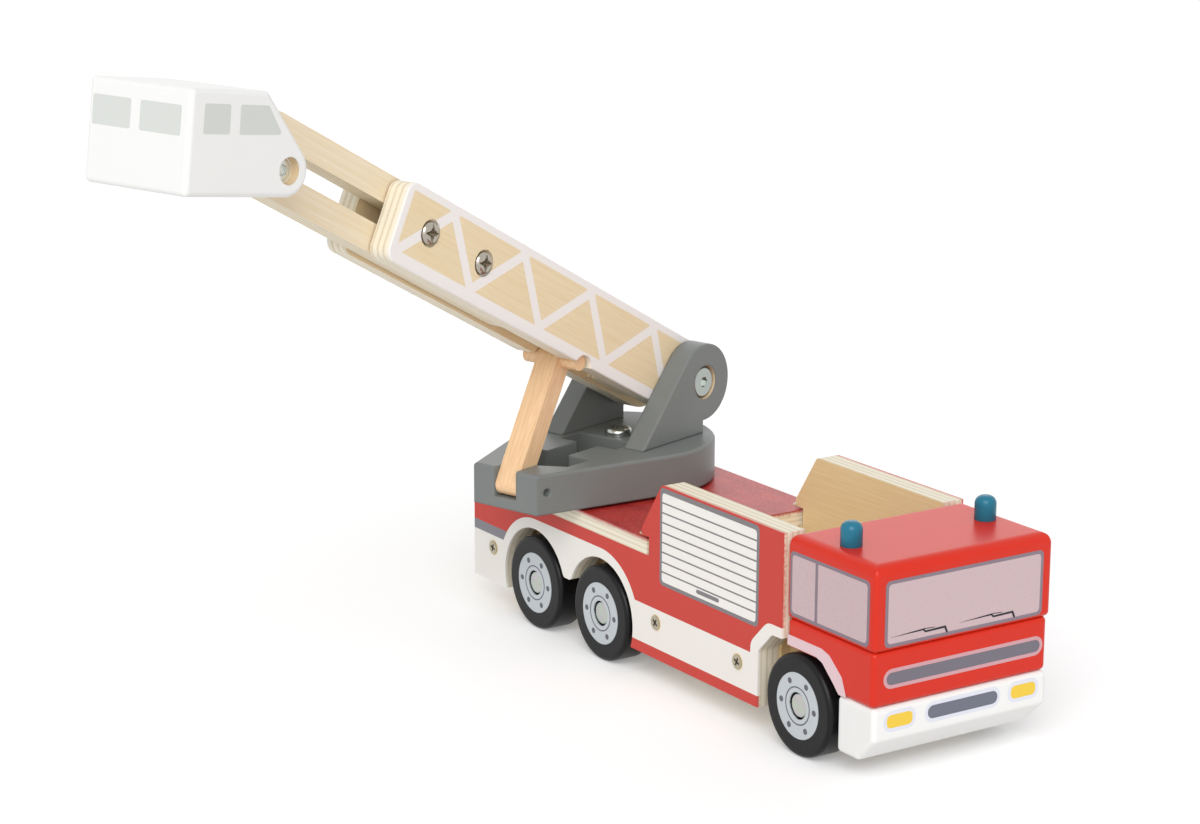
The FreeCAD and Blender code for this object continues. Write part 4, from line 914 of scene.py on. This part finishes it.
# Strut
# A square leg and a dowel of clear-lacquered beech, pinkish, with short dark flecks.

strut_lean = math.radians(61.5)
heading = math.atan2(along.y, along.x)
strut_turn = Matrix.Rotation(heading, 4, "Z") @ Matrix.Rotation(math.pi + strut_lean, 4, "Y")
dress(planed("clear_lacquered_beech", strut_turn.to_euler(), ("#f3cfa6", "#e2b788"),
             (12 * mm, 0.8 * mm, 0.8 * mm), 0.46), "strut_leg", "strut_dowel")


# Rescue cabin
# One block of white-lacquered wood with a round heel; pale grey windows are printed on its front
# and sides. The wells of its bolt are bored after the lacquer too, and the bolt's heads, with
# their bright rims, nearly fill them.

dress(white, "cabin")
cabin_tilt = math.radians(7.8)
level = Vector((along.x, along.y, 0)).normalized()
nose = level * math.cos(cabin_tilt) + Vector((0, 0, math.sin(cabin_tilt)))
roof = nose.cross(left)
cabin_half, cabin_front = 30.5 * mm, 59.5 * mm
pane_ink = ink("pale_grey_window_ink", "#d4d7d3", "#cdd1cc")
pane_round = 1.0 * mm
side_panes = {"fore": [(51.9, 27.2), (37.0, 27.2), (36.8, 14.8), (51.9, 14.8)],
              "aft": [(31.4, 27.2), (15.0, 27.2), (6.0, 15.2), (31.2, 14.8)]}
front_panes = {"one": (-27.5, -4.6), "two": (1.0, 25.2)}
front_pane_low, front_pane_high = 13.3 * mm, 25.8 * mm
hub = Vector(joints["cabin_tilt"]["pos_m"])
well_radius, well_depth, well_rim = 6.0 * mm, 6.2 * mm, 0.4 * mm
well_sizes = {"Radius": well_radius - well_wall, "Wall": well_wall, "Height": well_depth,
              "Finish": well_wood}
rim_inner, rim_outer, rim_height, rim_seat = 5.0 * mm, 5.72 * mm, 2.2 * mm, 23.7 * mm
rim_sizes = {"Radius": (rim_inner + rim_outer) / 2, "Wall": rim_outer - rim_inner,
             "Height": rim_height,
             "Finish": plated_steel("pale_zinc_plated_rim", "#f4f5f2", 0.6, 0.75)}
fittings = [("well_wall", well_sizes, cabin_half - well_rim - well_depth / 2, "cabin",
             "white_lacquered_block"),
            ("bolt_rim", rim_sizes, rim_seat + rim_height / 2, "slider", "zinc_plated_steel")]
for name, side in (("left", 1), ("right", -1)):
    for part, sizes, out, body, slot in fittings:
        face = facing(hub + left * side * out, nose, roof, side)
        grow(f"cabin_{part}_{name}", well_tree, sizes, face, body)
for name, side in (("left", 1), ("right", -1)):
    face = facing(hub + left * side * cabin_half, nose, roof, side)
    for pane, corners in side_panes.items():
        sheet(f"cabin_window_{pane}_{name}", rounded([(x * mm, z * mm) for x, z in corners],
              pane_round), film, pane_ink, face, side, "cabin", "white_lacquered_block")
face = facing(hub + nose * cabin_front, left, roof)
for name, (start, end) in front_panes.items():
    sheet(f"cabin_window_front_{name}", box_outline(start * mm, end * mm, front_pane_low,
          front_pane_high, pane_round), film, pane_ink, face, -1, "cabin", "white_lacquered_block")


# Studio
# A white sweep under soft, even light; the camera stands where the photograph's stood.

def seen_ray(tree):
    """1 where the camera sees it, in a reflection or through glass too, and 0 for its light."""
    path = add(tree, "ShaderNodeLightPath")
    seen = add(tree, "ShaderNodeMath", {
        0: path.outputs["Is Camera Ray"], 1: path.outputs["Is Glossy Ray"]}, operation="MAXIMUM")
    return add(tree, "ShaderNodeMath", {
        0: seen, 1: path.outputs["Is Transmission Ray"]}, operation="MAXIMUM")


def studio_floor():
    """White paper: it keeps the toy's shadow, and a little light of its own lifts it to white
    for the camera and in reflections."""
    material, tree = new_material("white_paper_sweep")
    lift = add(tree, "ShaderNodeMath", {0: seen_ray(tree), 1: floor_lift}, operation="MULTIPLY")
    paper = add(tree, "ShaderNodeBsdfDiffuse", {0: linear("#f3f3f3")})
    glow = add(tree, "ShaderNodeEmission", {0: (1, 1, 1, 1), 1: lift})
    both = add(tree, "ShaderNodeAddShader", {0: paper, 1: glow})
    # Seen from below the paper is clear, so that the toy's underside shows
    clear = add(tree, "ShaderNodeBsdfTransparent")
    below = add(tree, "ShaderNodeNewGeometry").outputs["Backfacing"]
    sweep = add(tree, "ShaderNodeMixShader", {0: below, 1: both, 2: clear})
    add(tree, "ShaderNodeOutputMaterial", {0: sweep})
    return material


floor_lift, reach = 0.22, 9.0
corners = [(-reach, -reach, 0), (reach, -reach, 0), (reach, reach, 0), (-reach, reach, 0)]
show("sweep", solid_mesh("sweep", corners, [(0, 1, 2, 3)], studio_floor()))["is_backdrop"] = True

world = bpy.data.worlds.new("soft_box")
world.use_nodes = True
tree = world.node_tree
tree.nodes.clear()
sky_light, sky_white = 0.56, 1.0
strength = add(tree, "ShaderNodeMapRange", {0: seen_ray(tree), 3: sky_light, 4: sky_white})
sky = add(tree, "ShaderNodeBackground", {0: (1, 1, 1, 1), 1: strength})
add(tree, "ShaderNodeOutputWorld", {0: sky})
bpy.context.scene.world = world

# Each lamp's direction, its strength and how wide it looks, in degrees
lamps = {"key": ((0.6, -0.5, 0.6), 1.5, 40), "fill": ((0.85, -0.6, 0.35), 0.45, 60),
         "rim": ((-0.8, 0.55, 0.4), 0.25, 50)}
for name, (towards, power, spread) in lamps.items():
    lamp = bpy.data.lights.new(name, "SUN")
    lamp.energy, lamp.angle = power, math.radians(spread)
    holder = show(name, lamp)
    holder.rotation_euler = Vector(towards).to_track_quat("Z", "Y").to_euler()
    holder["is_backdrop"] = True

azimuth, elevation, roll = math.radians(56.37), math.radians(14.15), math.radians(0.24)
target, distance = Vector((-61.2, -41.9, 120.0)) * mm, 1458.6 * mm
back = Vector((math.sin(azimuth) * math.cos(elevation), -math.cos(azimuth) * math.cos(elevation),
               math.sin(elevation)))
lens = bpy.data.cameras.new("photo_view")
lens.sensor_width, lens.lens = 36.0, 90.5
eye = show("photo_view", lens)
turn = back.to_track_quat("Z", "Y").to_matrix().to_4x4() @ Matrix.Rotation(roll, 4, "Z")
eye.matrix_world = Matrix.Translation(target + back * distance) @ turn
bpy.context.scene.camera = eye
bpy.context.scene.view_settings.view_transform = "Standard"

low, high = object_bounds()
